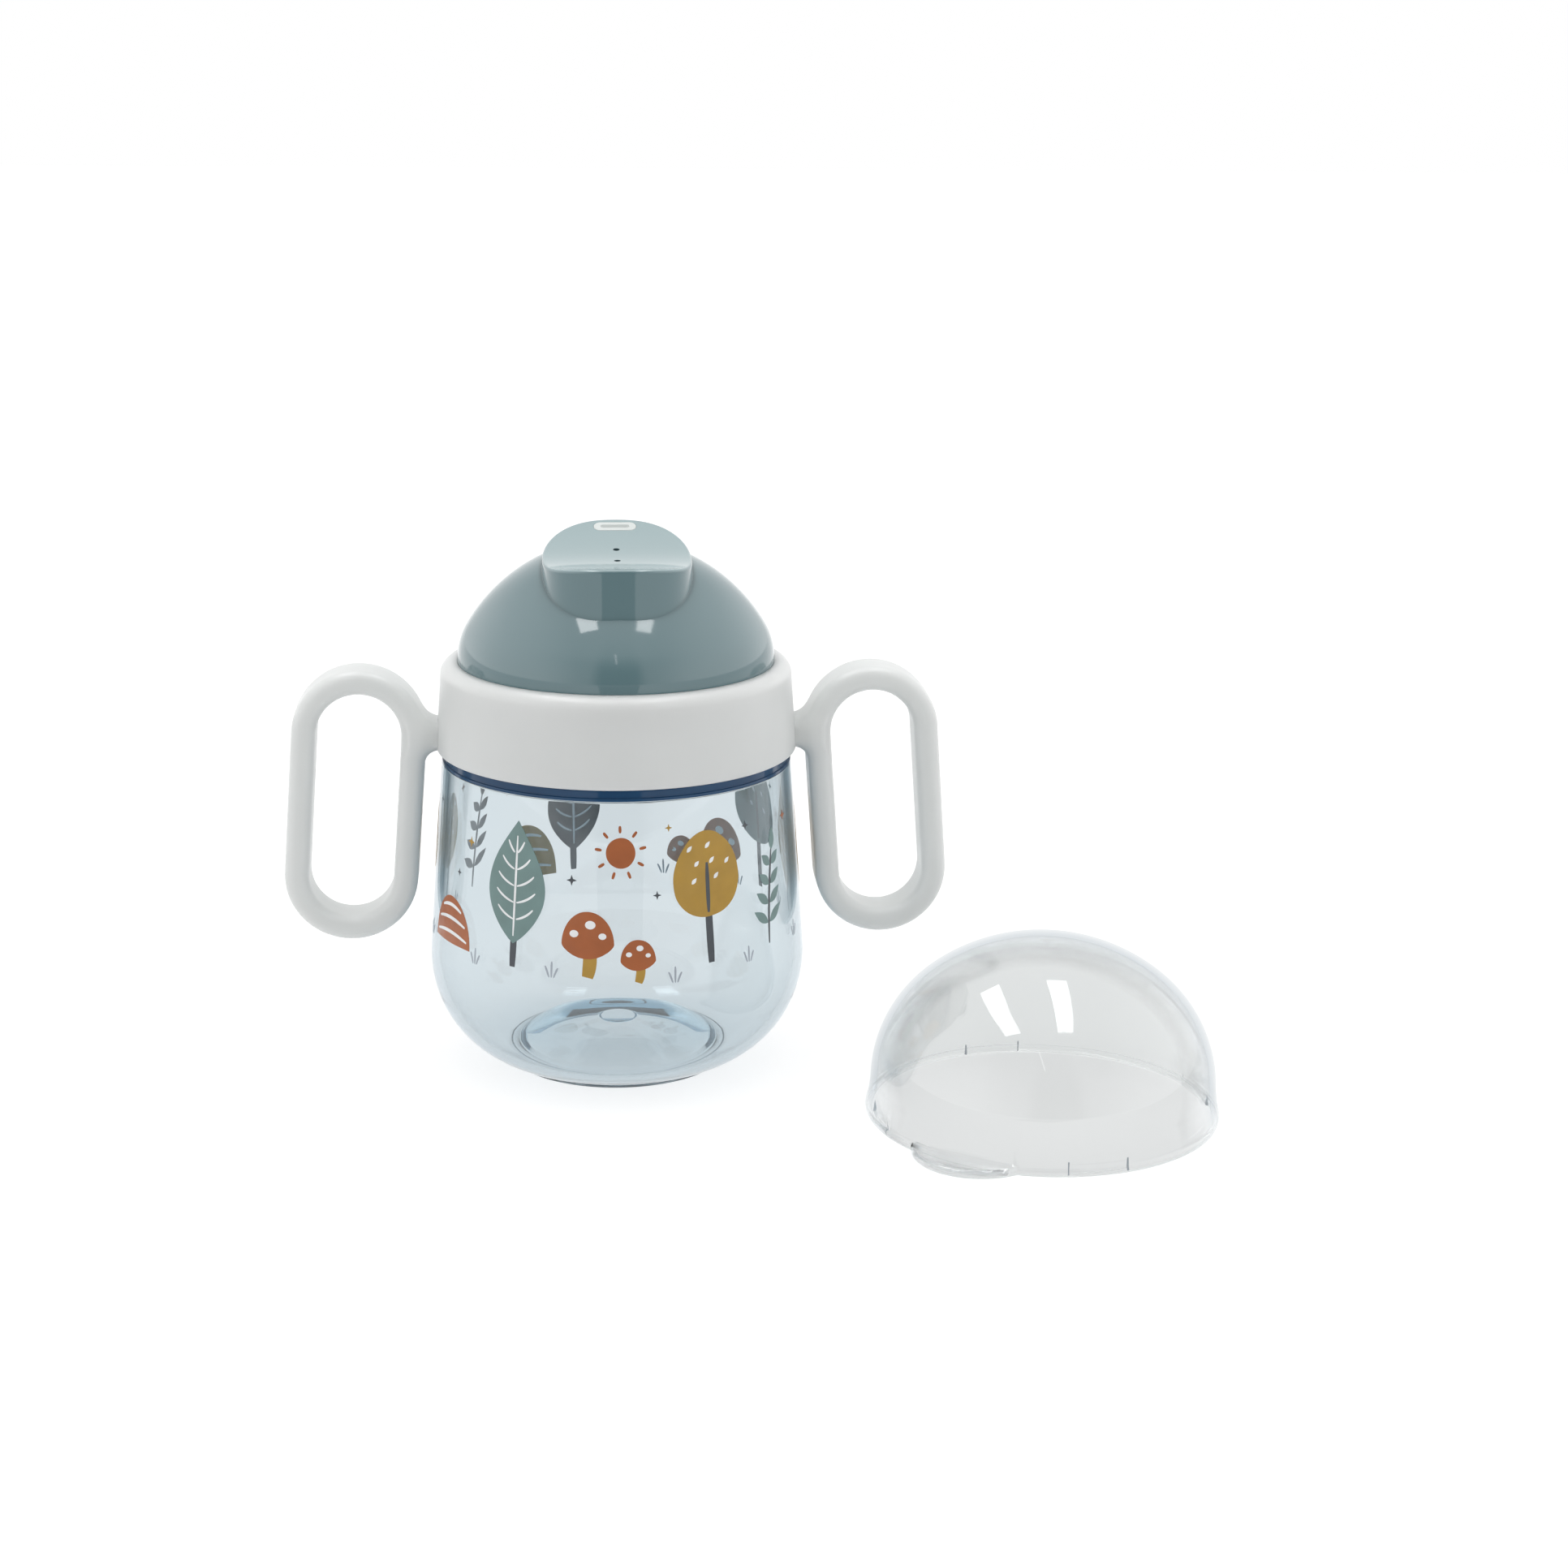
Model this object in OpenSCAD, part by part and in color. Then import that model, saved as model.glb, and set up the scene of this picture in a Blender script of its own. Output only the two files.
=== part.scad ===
// Two-handled sippy cup: a flared clear cup, a domed lid with a scooped spout,
// a screw collar with loop handles, and a clear dome cap standing beside it.
// Millimetres, +Z up, origin at the centre of the cup's foot on the table.

/* [Cup] */
// Largest diameter of the cup's body
body_d = 76; // [72:0.5:82]
// Outer radius of the rounded heel
heel_r = 21; // [18:0.5:23]
// Height of the heel, from the table to where the wall starts
heel_h = 22.4; // [20:0.1:25]
// Lean of the body wall, in degrees, narrower at the top
flare = 4.3; // [3:0.1:5.5]
// Height of the shoulder above the table
shoulder_z = 63.4; // [59:0.1:69]
// Wall thickness of the cup
cup_wall = 1.8; // [1.4:0.1:2.2]
// Outer diameter of the foot ring
foot_d = 44.6; // [42:0.2:48]
// Diameter of the hollow inside the foot ring
push_d = 36.8; // [34:0.2:40]
// Height of the domed hollow under the cup
push_h = 6.2; // [5:0.1:7]
// Depth of the hollow at the edge of the foot ring
push_edge = 1.4; // [1:0.1:2.2]
// Thickness of the floor at its flat middle
floor_t = 1.6; // [1.2:0.1:2.2]
// Radius out to which the floor stays nearly flat
floor_r = 18.6; // [17:0.2:20]
// Fall of the floor from its middle to that radius
floor_fall = 3.4; // [2.4:0.1:3.8]
// Diameter of the moulding gate's boss under the cup
gate_d = 7.2; // [5:0.1:9]
// Depth of the moulding gate's boss
gate_h = 0.6; // [0.3:0.1:1]
// Height of the ledge that stops the collar
ledge_h = 1.6; // [1.2:0.1:2.4]
// Set-back of the ledge from the shoulder's edge
ledge_set = 0.4; // [0.2:0.1:0.8]
// Width of the shoulder, from its edge in to the neck
shoulder_w = 4; // [3.6:0.1:4.6]
// Fall of the shoulder's inside, from the neck out to the wall
shoulder_drop = 2; // [1.6:0.1:4]
// Height of the neck above the shoulder
neck_h = 14.2; // [13:0.1:17]

/* [Screw thread] */
// Rise of the thread in one turn
thread_lead = 4; // [3.6:0.1:4.6]
// Number of turns of each thread
thread_turns = 1.25; // [1:0.05:1.4]
// Height of a thread ridge
thread_h = 1.6; // [1.2:0.1:1.8]
// Width of a thread ridge at its root
thread_root_w = 2.2; // [1.8:0.1:2.4]
// Width of a thread ridge at its crest
thread_crest_w = 0.9; // [0.7:0.1:1.1]
// Clearance between a crest and the facing wall
thread_clear = 0.5; // [0.4:0.05:0.7]
// Rise from the ledge to the middle of the cup's thread
thread_start = 2.6; // [2.2:0.1:3]

/* [Collar] */
// Gap that shows between the shoulder and the collar
collar_gap = 1.8; // [1.7:0.1:2.8]
// Overhang of the collar's lower edge past the shoulder
collar_over = 1.05; // [0.7:0.05:1.6]
// Lean of the collar's side, in degrees, narrower at the top
collar_draft = 3.9; // [2:0.1:4.5]
// Radius of the collar's top edge
collar_round = 2.6; // [1.5:0.1:3]
// Thickness of the collar's top flange
lip_t = 2.2; // [1.6:0.1:2.8]
// Width of the collar's top flange inside the wall
lip_w = 1.5; // [1.2:0.1:2]

/* [Handles] */
// Height of a handle loop
loop_h = 55.5; // [48:0.5:60]
// Width of a handle loop
loop_w = 26.6; // [24:0.2:30]
// Thickness of the loop's bar, seen from the front
bar_w = 4.85; // [4:0.05:6]
// Depth of the loop's bar, front to back
bar_d = 10.4; // [8:0.1:13]
// Radius of the bar's edges
bar_round = 1.9; // [1.2:0.1:1.95]
// Gap between the cup's wall and a loop
loop_gap = 3.3; // [2.6:0.1:4.5]
// Fall from the collar's top to the top of a loop
loop_drop = 1.25; // [0.5:0.05:3]
// Height of the stalk between collar and loop
stalk_h = 5.6; // [4.6:0.1:7]
// Depth of the stalk, front to back
stalk_d = 9.8; // [7:0.1:10]
// Radius of the fillets where a stalk meets its loop
stalk_fillet = 1.7; // [1:0.1:2]

/* [Lid] */
// Wall thickness of the lid
lid_wall = 1.6; // [1.3:0.1:2]
// Thickness of the lid's flange
flange_t = 1.8; // [1.4:0.1:2.4]
// Clearance round the lid inside the collar
lid_clear = 0.35; // [0.3:0.05:0.5]
// Gap between the lid's flange and the collar's flange
flange_clear = 0.1; // [0.05:0.05:0.3]
// Straight part of the lid above the collar
lid_step = 0.5; // [0.3:0.1:1.5]
// Radius of the dome's side
dome_side_r = 13; // [11:0.5:15]
// Height of the dome's crown above its straight part
dome_h = 23.5; // [22:0.1:25]
// Depth of the skirt that centres the lid in the neck
skirt_h = 3; // [2:0.1:4]
// Clearance between the skirt and the neck's bore
skirt_clear = 0.4; // [0.3:0.05:0.6]
// Thickness of the flat seal under the lid
seal_t = 1.2; // [0.8:0.1:1.8]
// Reach of the seal past the neck's outside
seal_over = 0.5; // [0.2:0.1:1]
// Clearance between the seal and the lid's skirt
seal_clear = 0.15; // [0.1:0.05:0.3]

/* [Spout] */
// Width of the spout
spout_w = 29.2; // [27:0.2:31]
// Length of the spout, front to back
spout_l = 34.2; // [32:0.2:36]
// Distance of the spout's middle in front of the cup's axis
spout_fore = 7.9; // [7:0.1:9]
// Squareness of the spout's outline, 2 for an ellipse
spout_square = 2.5; // [2:0.1:3]
// Radius of the scoop in the spout's top
scoop_r = 52; // [46:1:60]
// Height of the scoop's lowest line above the collar
scoop_low = 21.6; // [21:0.1:23]
// Distance of the scoop's lowest line in front of the cup's axis
scoop_fore = 13.6; // [12:0.1:15]
// Length of the drinking window, along the spout's back edge
window_l = 8.8; // [7:0.1:10]
// Width of the drinking window
window_w = 2.7; // [2:0.1:2.8]
// Distance from the window's middle to the spout's back edge
window_set = 2.9; // [2.8:0.1:3.4]
// Diameter of each air hole
vent_d = 1.3; // [1:0.1:1.8]
// Distance of the front air hole from the cup's axis
vent_fore = 10; // [9:0.1:11]
// Spacing of the two air holes
vent_pitch = 6.8; // [6:0.1:7.6]
// Thickness of the silicone valve sheet under the spout's top
valve_t = 1.4; // [1:0.1:2]
// Clearance round the valve
valve_clear = 0.15; // [0.1:0.05:0.3]
// Length of the valve's slit
slit_l = 5; // [3:0.1:5.5]
// Width of the valve's slit
slit_w = 0.3; // [0.2:0.05:0.5]

/* [Cap] */
// Wall thickness of the cap
cap_wall = 1.3; // [1:0.1:1.8]
// Set-back of the cap's rim from the collar's top edge
cap_set = 0.3; // [0:0.05:0.8]
// Room inside the cap above the spout
cap_head = 7.2; // [6.5:0.1:9]
// Height of the cap's spreading rim band
cap_band = 6; // [4:0.5:8]
// Spread of the rim band at the rim
cap_spread = 0.75; // [0.3:0.05:1.2]
// Radius of the cap's side
cap_side_r = 27; // [24:0.5:27.5]
// Distance of the thumb tab's edge past the rim
tab_out = 5.7; // [4:0.1:7]
// Radius of the thumb tab's edge
tab_r = 12.3; // [10:0.1:15]
// Thickness of the thumb tab
tab_t = 1.8; // [1.2:0.1:2.6]
// Direction of the thumb tab, in degrees from +X
tab_angle = -126; // [-150:1:-100]
// Height of a snap rib inside the rim
rib_h = 2.2; // [1.8:0.1:3]
// Reach of a snap rib inward
rib_in = 0.5; // [0.3:0.1:1]
// Width of a snap rib, in degrees
rib_angle = 20; // [12:1:30]
// Height of a snap rib above the rim
rib_z = 0.4; // [0.3:0.1:1.2]
// Bearing of the cap from the right handle's front corner, in degrees, 90 straight to the front
cap_bearing = 65.6; // [50:0.1:85]
// Gap, seen from above, between the cap and that corner
cap_gap = 2.4; // [2:0.1:12]

/* [Hidden] */
$fn = 96;
arc_steps = 14;
floor_steps = 24;
outline_steps = 56;
helix_sides = 36;
bite = 0.5;
over = 1;
blank_over = 4;

body_r = body_d / 2;
foot_r = foot_d / 2;
push_r = push_d / 2;
heel_x = body_r - heel_r;
foot_top_a = -acos((foot_r - heel_x) / heel_r);
bowl_a = -40;
wall_a = atan(heel_h / heel_r * tan(flare));
heel_reach = norm([heel_r * cos(flare), heel_h * sin(flare)]);
shoulder_r = heel_x + heel_reach / cos(flare) - (shoulder_z - heel_h) * tan(flare);
ledge_r = shoulder_r - ledge_set;
ledge_z = shoulder_z + ledge_h;
neck_r = shoulder_r - shoulder_w;
bore_r = neck_r - cup_wall;
rim_z = shoulder_z + neck_h;
push_rise = push_h - push_edge;
push_sphere_r = (push_r * push_r + push_rise * push_rise) / (2 * push_rise);
cup_thread_z = ledge_z + thread_start;
collar_thread_z = cup_thread_z + thread_lead / 2;

seal_z = rim_z;
flange_z = seal_z + seal_t;
lip_z = flange_z + flange_t + flange_clear;
collar_z = shoulder_z + collar_gap;
collar_top_z = lip_z + lip_t;
collar_r = shoulder_r + collar_over;
collar_top_r = collar_r - (collar_top_z - collar_z) * tan(collar_draft);
collar_in_r = neck_r + thread_h + thread_clear;
collar_open_r = collar_in_r - lip_w;

dome_r = collar_open_r - lid_clear;
dome_z = collar_top_z + lid_step;
flange_r = collar_in_r - lid_clear;
skirt_r = bore_r - skirt_clear;
spout_back = spout_l / 2 - spout_fore;
scoop_axis_z = collar_top_z + scoop_low + scoop_r;
spout_reach = scoop_fore + spout_back;
ridge_z = scoop_axis_z - sqrt(scoop_r * scoop_r - spout_reach * spout_reach);
blank_top_z = ridge_z + blank_over;
window_y = spout_back - window_set;

loop_lean = flare;
loop_mid_r = (loop_w - bar_w) / 2;
loop_straight = loop_h - loop_w;
loop_z = collar_top_z - loop_drop - (loop_straight * cos(loop_lean) + loop_w) / 2;
wall_at_loop = shoulder_r + (shoulder_z - loop_z) * tan(flare);
loop_x = wall_at_loop + (loop_gap + loop_w / 2) / cos(loop_lean);
stalk_mid_z = collar_z + stalk_h / 2;
stalk_end_x = loop_x - loop_mid_r / cos(loop_lean) - (stalk_mid_z - loop_z) * tan(loop_lean);
bar_face_x = stalk_end_x - bar_w / 2 / cos(loop_lean);
stalk_start_x = collar_in_r + bite;

cap_r = collar_top_r - cap_set;
cap_side_top_r = cap_r - cap_spread;
cap_h = ridge_z - collar_top_z + cap_head + cap_wall;
loop_reach = loop_x + (loop_straight * sin(loop_lean) + loop_w) / 2;
cap_x = loop_reach + (cap_r + cap_gap) * cos(cap_bearing);
cap_y = -bar_d / 2 - (cap_r + cap_gap) * sin(cap_bearing);

// Points along an arc round (cx, cy)
function arc(cx, cy, r, a0, a1) = [
    for (i = [0:arc_steps])
        let (a = a0 + (a1 - a0) * i / arc_steps)
        [cx + r * cos(a), cy + r * sin(a)]
];

// Points along the oval heel, taken in by inset
function heel_points(inset, a0, a1) = [
    for (i = [0:arc_steps])
        let (a = a0 + (a1 - a0) * i / arc_steps)
        [heel_x + (heel_r - inset) * cos(a), heel_h + (heel_h - inset) * sin(a)]
];

// Height of the heel's inside at radius r
function bowl_z(r) =
    let (part = max(r - heel_x, 0) / (heel_r - cup_wall))
    heel_h - (heel_h - cup_wall) * sqrt(1 - part * part);

// Height of the flat-topped floor, or of the heel's inside beyond it
function floor_z(r) = max(bowl_z(r), push_h + floor_t - floor_fall * pow(r / floor_r, 4));

// Radius of the crown arc that meets a side arc of radius side smoothly
function crown_r(r, side, h) = (pow(r - side, 2) + h * h - side * side) / (2 * (h - side));

// Half profile of a dome that springs upright at (r, z), taken in by inset
function dome_points(r, side, h, z, inset) =
    let (
        crown = crown_r(r, side, h),
        meet = atan2(crown - h, r - side)
    )
    concat(
        arc(r - side, z, side - inset, 0, meet),
        arc(0, z + h - crown, crown - inset, meet, 90)
    );

// Outline of the spout from above, taken in by inset
function spout_points(inset) =
    let (
        a = spout_w / 2 - inset,
        b = spout_l / 2 - inset,
        p = 2 / spout_square
    )
    [
        for (i = [0:outline_steps - 1])
            let (t = 360 * i / outline_steps)
            [
                a * sign(cos(t)) * pow(abs(cos(t)), p),
                b * sign(sin(t)) * pow(abs(sin(t)), p) - spout_fore
            ]
    ];

// Radius of the inside of the cup's leaning wall at height z
function inner_wall_r(z) = shoulder_r + (shoulder_z - z) * tan(flare) - cup_wall / cos(flare);

// A helical ridge from root_r to crest_r, which may point out or in
module helix_ridge(root_r, crest_r, z0) {
    steps = ceil(thread_turns * helix_sides);
    section = [
        [root_r, -thread_root_w / 2],
        [crest_r, -thread_crest_w / 2],
        [crest_r, thread_crest_w / 2],
        [root_r, thread_root_w / 2]
    ];
    points = [
        for (i = [0:steps], s = section)
            let (a = 360 * thread_turns * i / steps)
            [s[0] * cos(a), s[0] * sin(a), z0 + thread_lead * a / 360 + s[1]]
    ];
    sides = [
        for (i = [0:steps - 1], k = [0:3])
            let (n = (k + 1) % 4)
            each [
                [4 * i + k, 4 * i + n, 4 * i + 4 + n],
                [4 * i + k, 4 * i + 4 + n, 4 * i + 4 + k]
            ]
    ];
    last = 4 * steps;
    ends = [[0, 2, 1], [0, 3, 2], [last, last + 1, last + 2], [last, last + 2, last + 3]];
    faces = concat(sides, ends);
    turned = [for (f = faces) [f[2], f[1], f[0]]];
    polyhedron(points, crest_r > root_r ? faces : turned);
}

module cup_outside() {
    rotate_extrude() polygon(concat(
        [[0, 0], [foot_r, 0]],
        heel_points(0, foot_top_a, wall_a),
        [
            [shoulder_r, shoulder_z],
            [ledge_r, shoulder_z],
            [ledge_r, ledge_z],
            [neck_r, ledge_z],
            [neck_r, rim_z],
            [0, rim_z]
        ]
    ));
}

module cup_hollow() {
    wall_top_z = shoulder_z - shoulder_drop;
    floor_out = heel_x + (heel_r - cup_wall) * cos(bowl_a);
    rotate_extrude() polygon(concat(
        [
            for (i = [0:floor_steps - 1])
                let (r = floor_out * i / floor_steps)
                [r, floor_z(r)]
        ],
        heel_points(cup_wall, bowl_a, wall_a),
        [
            [inner_wall_r(wall_top_z), wall_top_z],
            [bore_r, shoulder_z],
            [bore_r, rim_z + over],
            [0, rim_z + over]
        ]
    ));
}

module cup() {
    color([0.78, 0.87, 0.93, 0.5]) {
        difference() {
            cup_outside();
            cup_hollow();
            difference() {
                intersection() {
                    translate([0, 0, -over]) cylinder(r = push_r, h = push_h + 2 * over);
                    translate([0, 0, push_h - push_sphere_r]) sphere(push_sphere_r);
                }
                translate([0, 0, push_h - gate_h]) cylinder(d = gate_d, h = gate_h + over);
            }
        }
        helix_ridge(neck_r - bite, neck_r + thread_h, cup_thread_z);
    }
}

// Rounded section of a bar, w across and d deep
module bar_section(w, d) {
    square([w - 2 * bar_round, d], center = true);
    square([w, d - 2 * bar_round], center = true);
    for (x = [-1, 1], y = [-1, 1])
        translate([x * (w / 2 - bar_round), y * (d / 2 - bar_round)]) circle(bar_round);
}

module handle_loop() {
    for (s = [-1, 1]) {
        translate([s * loop_mid_r, 0, -loop_straight / 2])
            linear_extrude(loop_straight) bar_section(bar_w, bar_d);
        translate([0, 0, s * loop_straight / 2])
            rotate([s * 90, 0, 0])
            rotate_extrude(angle = 180)
            translate([loop_mid_r, 0]) bar_section(bar_w, bar_d);
    }
}

// Fillet between a stalk's face and its loop, up is 1 on top and -1 below
module stalk_corner(up) {
    face_z = collar_z + (up > 0 ? stalk_h : 0);
    face_x = bar_face_x - (face_z - stalk_mid_z) * tan(loop_lean);
    reach = stalk_fillet + bar_w / 2;
    translate([face_x - stalk_fillet, 0, face_z])
        rotate([90, 0, 0])
        linear_extrude(stalk_d - 2 * bar_round, center = true)
        scale([1, up])
        difference() {
            translate([0, -stalk_h / 3]) square([reach, stalk_fillet + stalk_h / 3]);
            translate([0, stalk_fillet]) circle(stalk_fillet);
        }
}

// Loop handle on the +X side, with the stalk that joins it to the collar
module handle() {
    translate([loop_x, 0, loop_z]) rotate([0, -loop_lean, 0]) handle_loop();
    translate([stalk_start_x, 0, stalk_mid_z])
        rotate([90, 0, 90])
        linear_extrude(stalk_end_x - stalk_start_x) bar_section(stalk_d, stalk_h);
    stalk_corner(1);
    stalk_corner(-1);
}

module collar_ring() {
    edge_r = collar_top_r - collar_round * (1 - tan(collar_draft));
    rotate_extrude() polygon(concat(
        [[collar_in_r, collar_z], [collar_r, collar_z]],
        arc(edge_r, collar_top_z - collar_round, collar_round, collar_draft, 90),
        [
            [collar_open_r, collar_top_z],
            [collar_open_r, lip_z],
            [collar_in_r, lip_z]
        ]
    ));
}

module handle_collar() {
    color([0.86, 0.87, 0.86]) {
        collar_ring();
        helix_ridge(collar_in_r + bite, neck_r + thread_clear, collar_thread_z);
        for (s = [0, 180]) rotate(s) handle();
    }
}

// The dome, or its hollow when taken in by inset, standing on height foot_z
module dome(inset, foot_z) {
    rotate_extrude() polygon(concat(
        [[0, foot_z], [dome_r - inset, foot_z]],
        dome_points(dome_r, dome_side_r, dome_h, dome_z, inset)
    ));
}

module spout_blank(inset) {
    translate([0, 0, dome_z])
        linear_extrude(blank_top_z - dome_z) polygon(spout_points(inset));
}

// Everything above the scooped top, lowered by inset
module scoop(inset) {
    translate([0, -scoop_fore, scoop_axis_z])
        rotate([0, 90, 0])
        cylinder(r = scoop_r + inset, h = 2 * spout_w, center = true, $fn = 180);
}

// Dome and spout as one form, or their hollow when taken in by inset
module spouted_dome(inset, foot_z) {
    difference() {
        union() {
            dome(inset, foot_z);
            spout_blank(inset);
        }
        intersection() {
            scoop(inset);
            spout_blank(inset - bite);
        }
    }
}

// The drinking window's outline, taken in by inset
module window_outline(inset) {
    half = (window_l - window_w) / 2;
    translate([0, window_y]) {
        square([2 * half, window_w - 2 * inset], center = true);
        for (s = [-1, 1]) translate([s * half, 0]) circle(d = window_w - 2 * inset);
    }
}

module lid() {
    color([0.44, 0.54, 0.56]) difference() {
        union() {
            spouted_dome(0, flange_z);
            translate([0, 0, flange_z]) cylinder(r = flange_r, h = flange_t);
            translate([0, 0, flange_z - skirt_h]) cylinder(r = skirt_r, h = skirt_h + flange_t);
        }
        spouted_dome(lid_wall, flange_z + flange_t);
        translate([0, 0, flange_z - skirt_h - over])
            cylinder(r = skirt_r - lid_wall, h = skirt_h + flange_t + 2 * over);
        translate([0, 0, dome_z]) linear_extrude(blank_top_z - dome_z) window_outline(0);
        for (k = [0, 1])
            translate([0, k * vent_pitch - vent_fore, dome_z])
                cylinder(d = vent_d, h = blank_top_z - dome_z);
    }
}

module lid_seal() {
    color([0.93, 0.93, 0.92]) translate([0, 0, seal_z]) difference() {
        cylinder(r = neck_r + seal_over, h = seal_t);
        translate([0, 0, -over]) cylinder(r = skirt_r + seal_clear, h = seal_t + 2 * over);
    }
}

module spout_valve() {
    seat = lid_wall + valve_clear;
    color([0.95, 0.95, 0.94]) difference() {
        union() {
            intersection() {
                spout_blank(seat);
                difference() {
                    scoop(seat + valve_t);
                    scoop(seat);
                }
            }
            intersection() {
                translate([0, 0, dome_z])
                    linear_extrude(blank_top_z - dome_z) window_outline(valve_clear);
                difference() {
                    scoop(seat + valve_t / 2);
                    scoop(valve_clear);
                }
            }
        }
        translate([-slit_l / 2, window_y - slit_w / 2, dome_z])
            cube([slit_l, slit_w, blank_top_z - dome_z]);
    }
}

// The cap's outside, or its hollow when taken in by inset
module cap_form(inset) {
    side_h = cap_h - cap_band;
    foot_z = inset > 0 ? -over : 0;
    rotate_extrude() polygon(concat(
        [[0, foot_z], [cap_r - inset, foot_z], [cap_r - inset, 0]],
        dome_points(cap_side_top_r, cap_side_r, side_h, cap_band, inset)
    ));
}

module cap_tab() {
    translate([cap_r + tab_out - tab_r, 0, 0]) cylinder(r = tab_r, h = tab_t);
}

module snap_rib() {
    wall_r = cap_r - cap_wall;
    rotate(-rib_angle / 2)
        rotate_extrude(angle = rib_angle)
        translate([wall_r - rib_in - cap_spread * (rib_z + rib_h) / cap_band, rib_z])
        square([rib_in + cap_spread + cap_wall / 2, rib_h]);
}

module cap() {
    color([0.92, 0.94, 0.94, 0.35])
        translate([cap_x, cap_y, 0])
        rotate(tab_angle) {
            difference() {
                union() {
                    cap_form(0);
                    cap_tab();
                }
                cap_form(cap_wall);
            }
            for (a = [45:90:315]) rotate(a) snap_rib();
        }
}

cup();
handle_collar();
lid();
lid_seal();
spout_valve();
cap();
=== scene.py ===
import math

import bmesh
import bpy
import numpy as np
from mathutils import Matrix, Vector
from mathutils.geometry import delaunay_2d_cdt


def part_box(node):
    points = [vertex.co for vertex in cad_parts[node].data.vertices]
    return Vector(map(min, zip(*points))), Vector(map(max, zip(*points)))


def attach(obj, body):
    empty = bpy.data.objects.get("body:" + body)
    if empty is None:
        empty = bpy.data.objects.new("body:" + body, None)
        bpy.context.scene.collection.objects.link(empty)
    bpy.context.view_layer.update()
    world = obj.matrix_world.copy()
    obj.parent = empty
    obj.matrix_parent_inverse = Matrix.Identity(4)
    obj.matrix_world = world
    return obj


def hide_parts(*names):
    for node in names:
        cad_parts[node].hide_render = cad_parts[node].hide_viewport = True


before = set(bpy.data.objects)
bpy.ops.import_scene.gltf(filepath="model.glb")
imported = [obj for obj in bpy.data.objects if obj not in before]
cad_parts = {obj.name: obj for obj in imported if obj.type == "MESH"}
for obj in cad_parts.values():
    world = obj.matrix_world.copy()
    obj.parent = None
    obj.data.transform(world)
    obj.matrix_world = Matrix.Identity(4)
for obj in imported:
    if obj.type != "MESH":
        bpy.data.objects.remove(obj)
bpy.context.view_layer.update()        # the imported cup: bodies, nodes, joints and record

mm = 0.001        # shapes are worked out in millimetres
weldGap = 0.0004        # points this near each other become one
closeBy = 0.01        # lengths this near each other count as the same
sharpDeg = 38        # edges that bend more than this stay crisp
quarterTurn = [math.pi / 2 * k / 5 for k in range(6)]        # small roundings go in five steps
print("frame loaded:", ", ".join(sorted(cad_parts)))


# Shared shape helpers

def crispEdges(mesh):
    mesh.shade_smooth()
    mesh.set_sharp_from_angle(angle=math.radians(sharpDeg))


def meshPiece(name, points, faces):
    mesh = bpy.data.meshes.new(name)
    mesh.from_pydata((np.asarray(points, float) * mm).tolist(), [], faces)
    work = bmesh.new()
    work.from_mesh(mesh)
    bmesh.ops.remove_doubles(work, verts=work.verts, dist=weldGap * mm)
    bmesh.ops.recalc_face_normals(work, faces=work.faces)
    work.to_mesh(mesh)
    work.free()
    crispEdges(mesh)
    piece = bpy.data.objects.new(name, mesh)
    bpy.context.scene.collection.objects.link(piece)
    return piece


def placePiece(piece, body, material, node=None):
    piece.data.materials.clear()
    piece.data.materials.append(material)
    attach(piece, body)
    if node:
        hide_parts(node)


def gridFaces(rows, columns, start=0, wrapRows=False):
    faces = []
    for i in range(rows if wrapRows else rows - 1):
        near = start + i * columns
        far = start + (i + 1) % rows * columns
        for j in range(columns):
            n = (j + 1) % columns
            faces.append((near + j, near + n, far + n, far + j))
    return faces


def arcPoints(centre, radius, startDeg, endDeg, steps):
    angles = np.radians(np.linspace(startDeg, endDeg, steps + 1))
    return [(centre[0] + radius * math.cos(a), centre[1] + radius * math.sin(a)) for a in angles]


# Corners given as (r, z, radius) are rounded, plain (r, z) points are kept
def roundedOutline(points, closed=False, steps=5):
    outline = []
    count = len(points)
    for i, point in enumerate(points):
        corner = np.array(point[:2], float)
        atEnd = not closed and i in (0, count - 1)
        if len(point) < 3 or atEnd:
            outline.append(corner)
            continue
        toLast = np.array(points[i - 1][:2]) - corner
        toNext = np.array(points[(i + 1) % count][:2]) - corner
        toLast /= np.linalg.norm(toLast)
        toNext /= np.linalg.norm(toNext)
        half = math.acos(np.clip(toLast @ toNext, -1, 1)) / 2
        middle = (toLast + toNext) / np.linalg.norm(toLast + toNext)
        centre = corner + middle * point[2] / math.sin(half)
        first = corner + toLast * point[2] / math.tan(half) - centre
        last = corner + toNext * point[2] / math.tan(half) - centre
        sweep = math.atan2(first[0] * last[1] - first[1] * last[0], first @ last)
        for k in range(steps + 1):
            a = sweep * k / steps
            turn = np.array([[math.cos(a), -math.sin(a)], [math.sin(a), math.cos(a)]])
            outline.append(centre + turn @ first)
    return np.array(outline)


def evenAngles(columns):
    return np.linspace(0, 2 * math.pi, columns, endpoint=False)


def ringPoints(r, angles, z):
    return np.column_stack([r * np.cos(angles), r * np.sin(angles), np.broadcast_to(z, angles.shape)])


# Turns an outline of (r, z) points round the Z axis, with an optional change of radius
def turnedPoints(outline, angles, swell=None):
    r = np.repeat(outline[:, :1], len(angles), 1)
    z = np.repeat(outline[:, 1:2], len(angles), 1)
    if swell is not None:
        r = r + swell(np.broadcast_to(angles, r.shape), r, z)
    return np.stack([r * np.cos(angles), r * np.sin(angles), z], -1)


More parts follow.
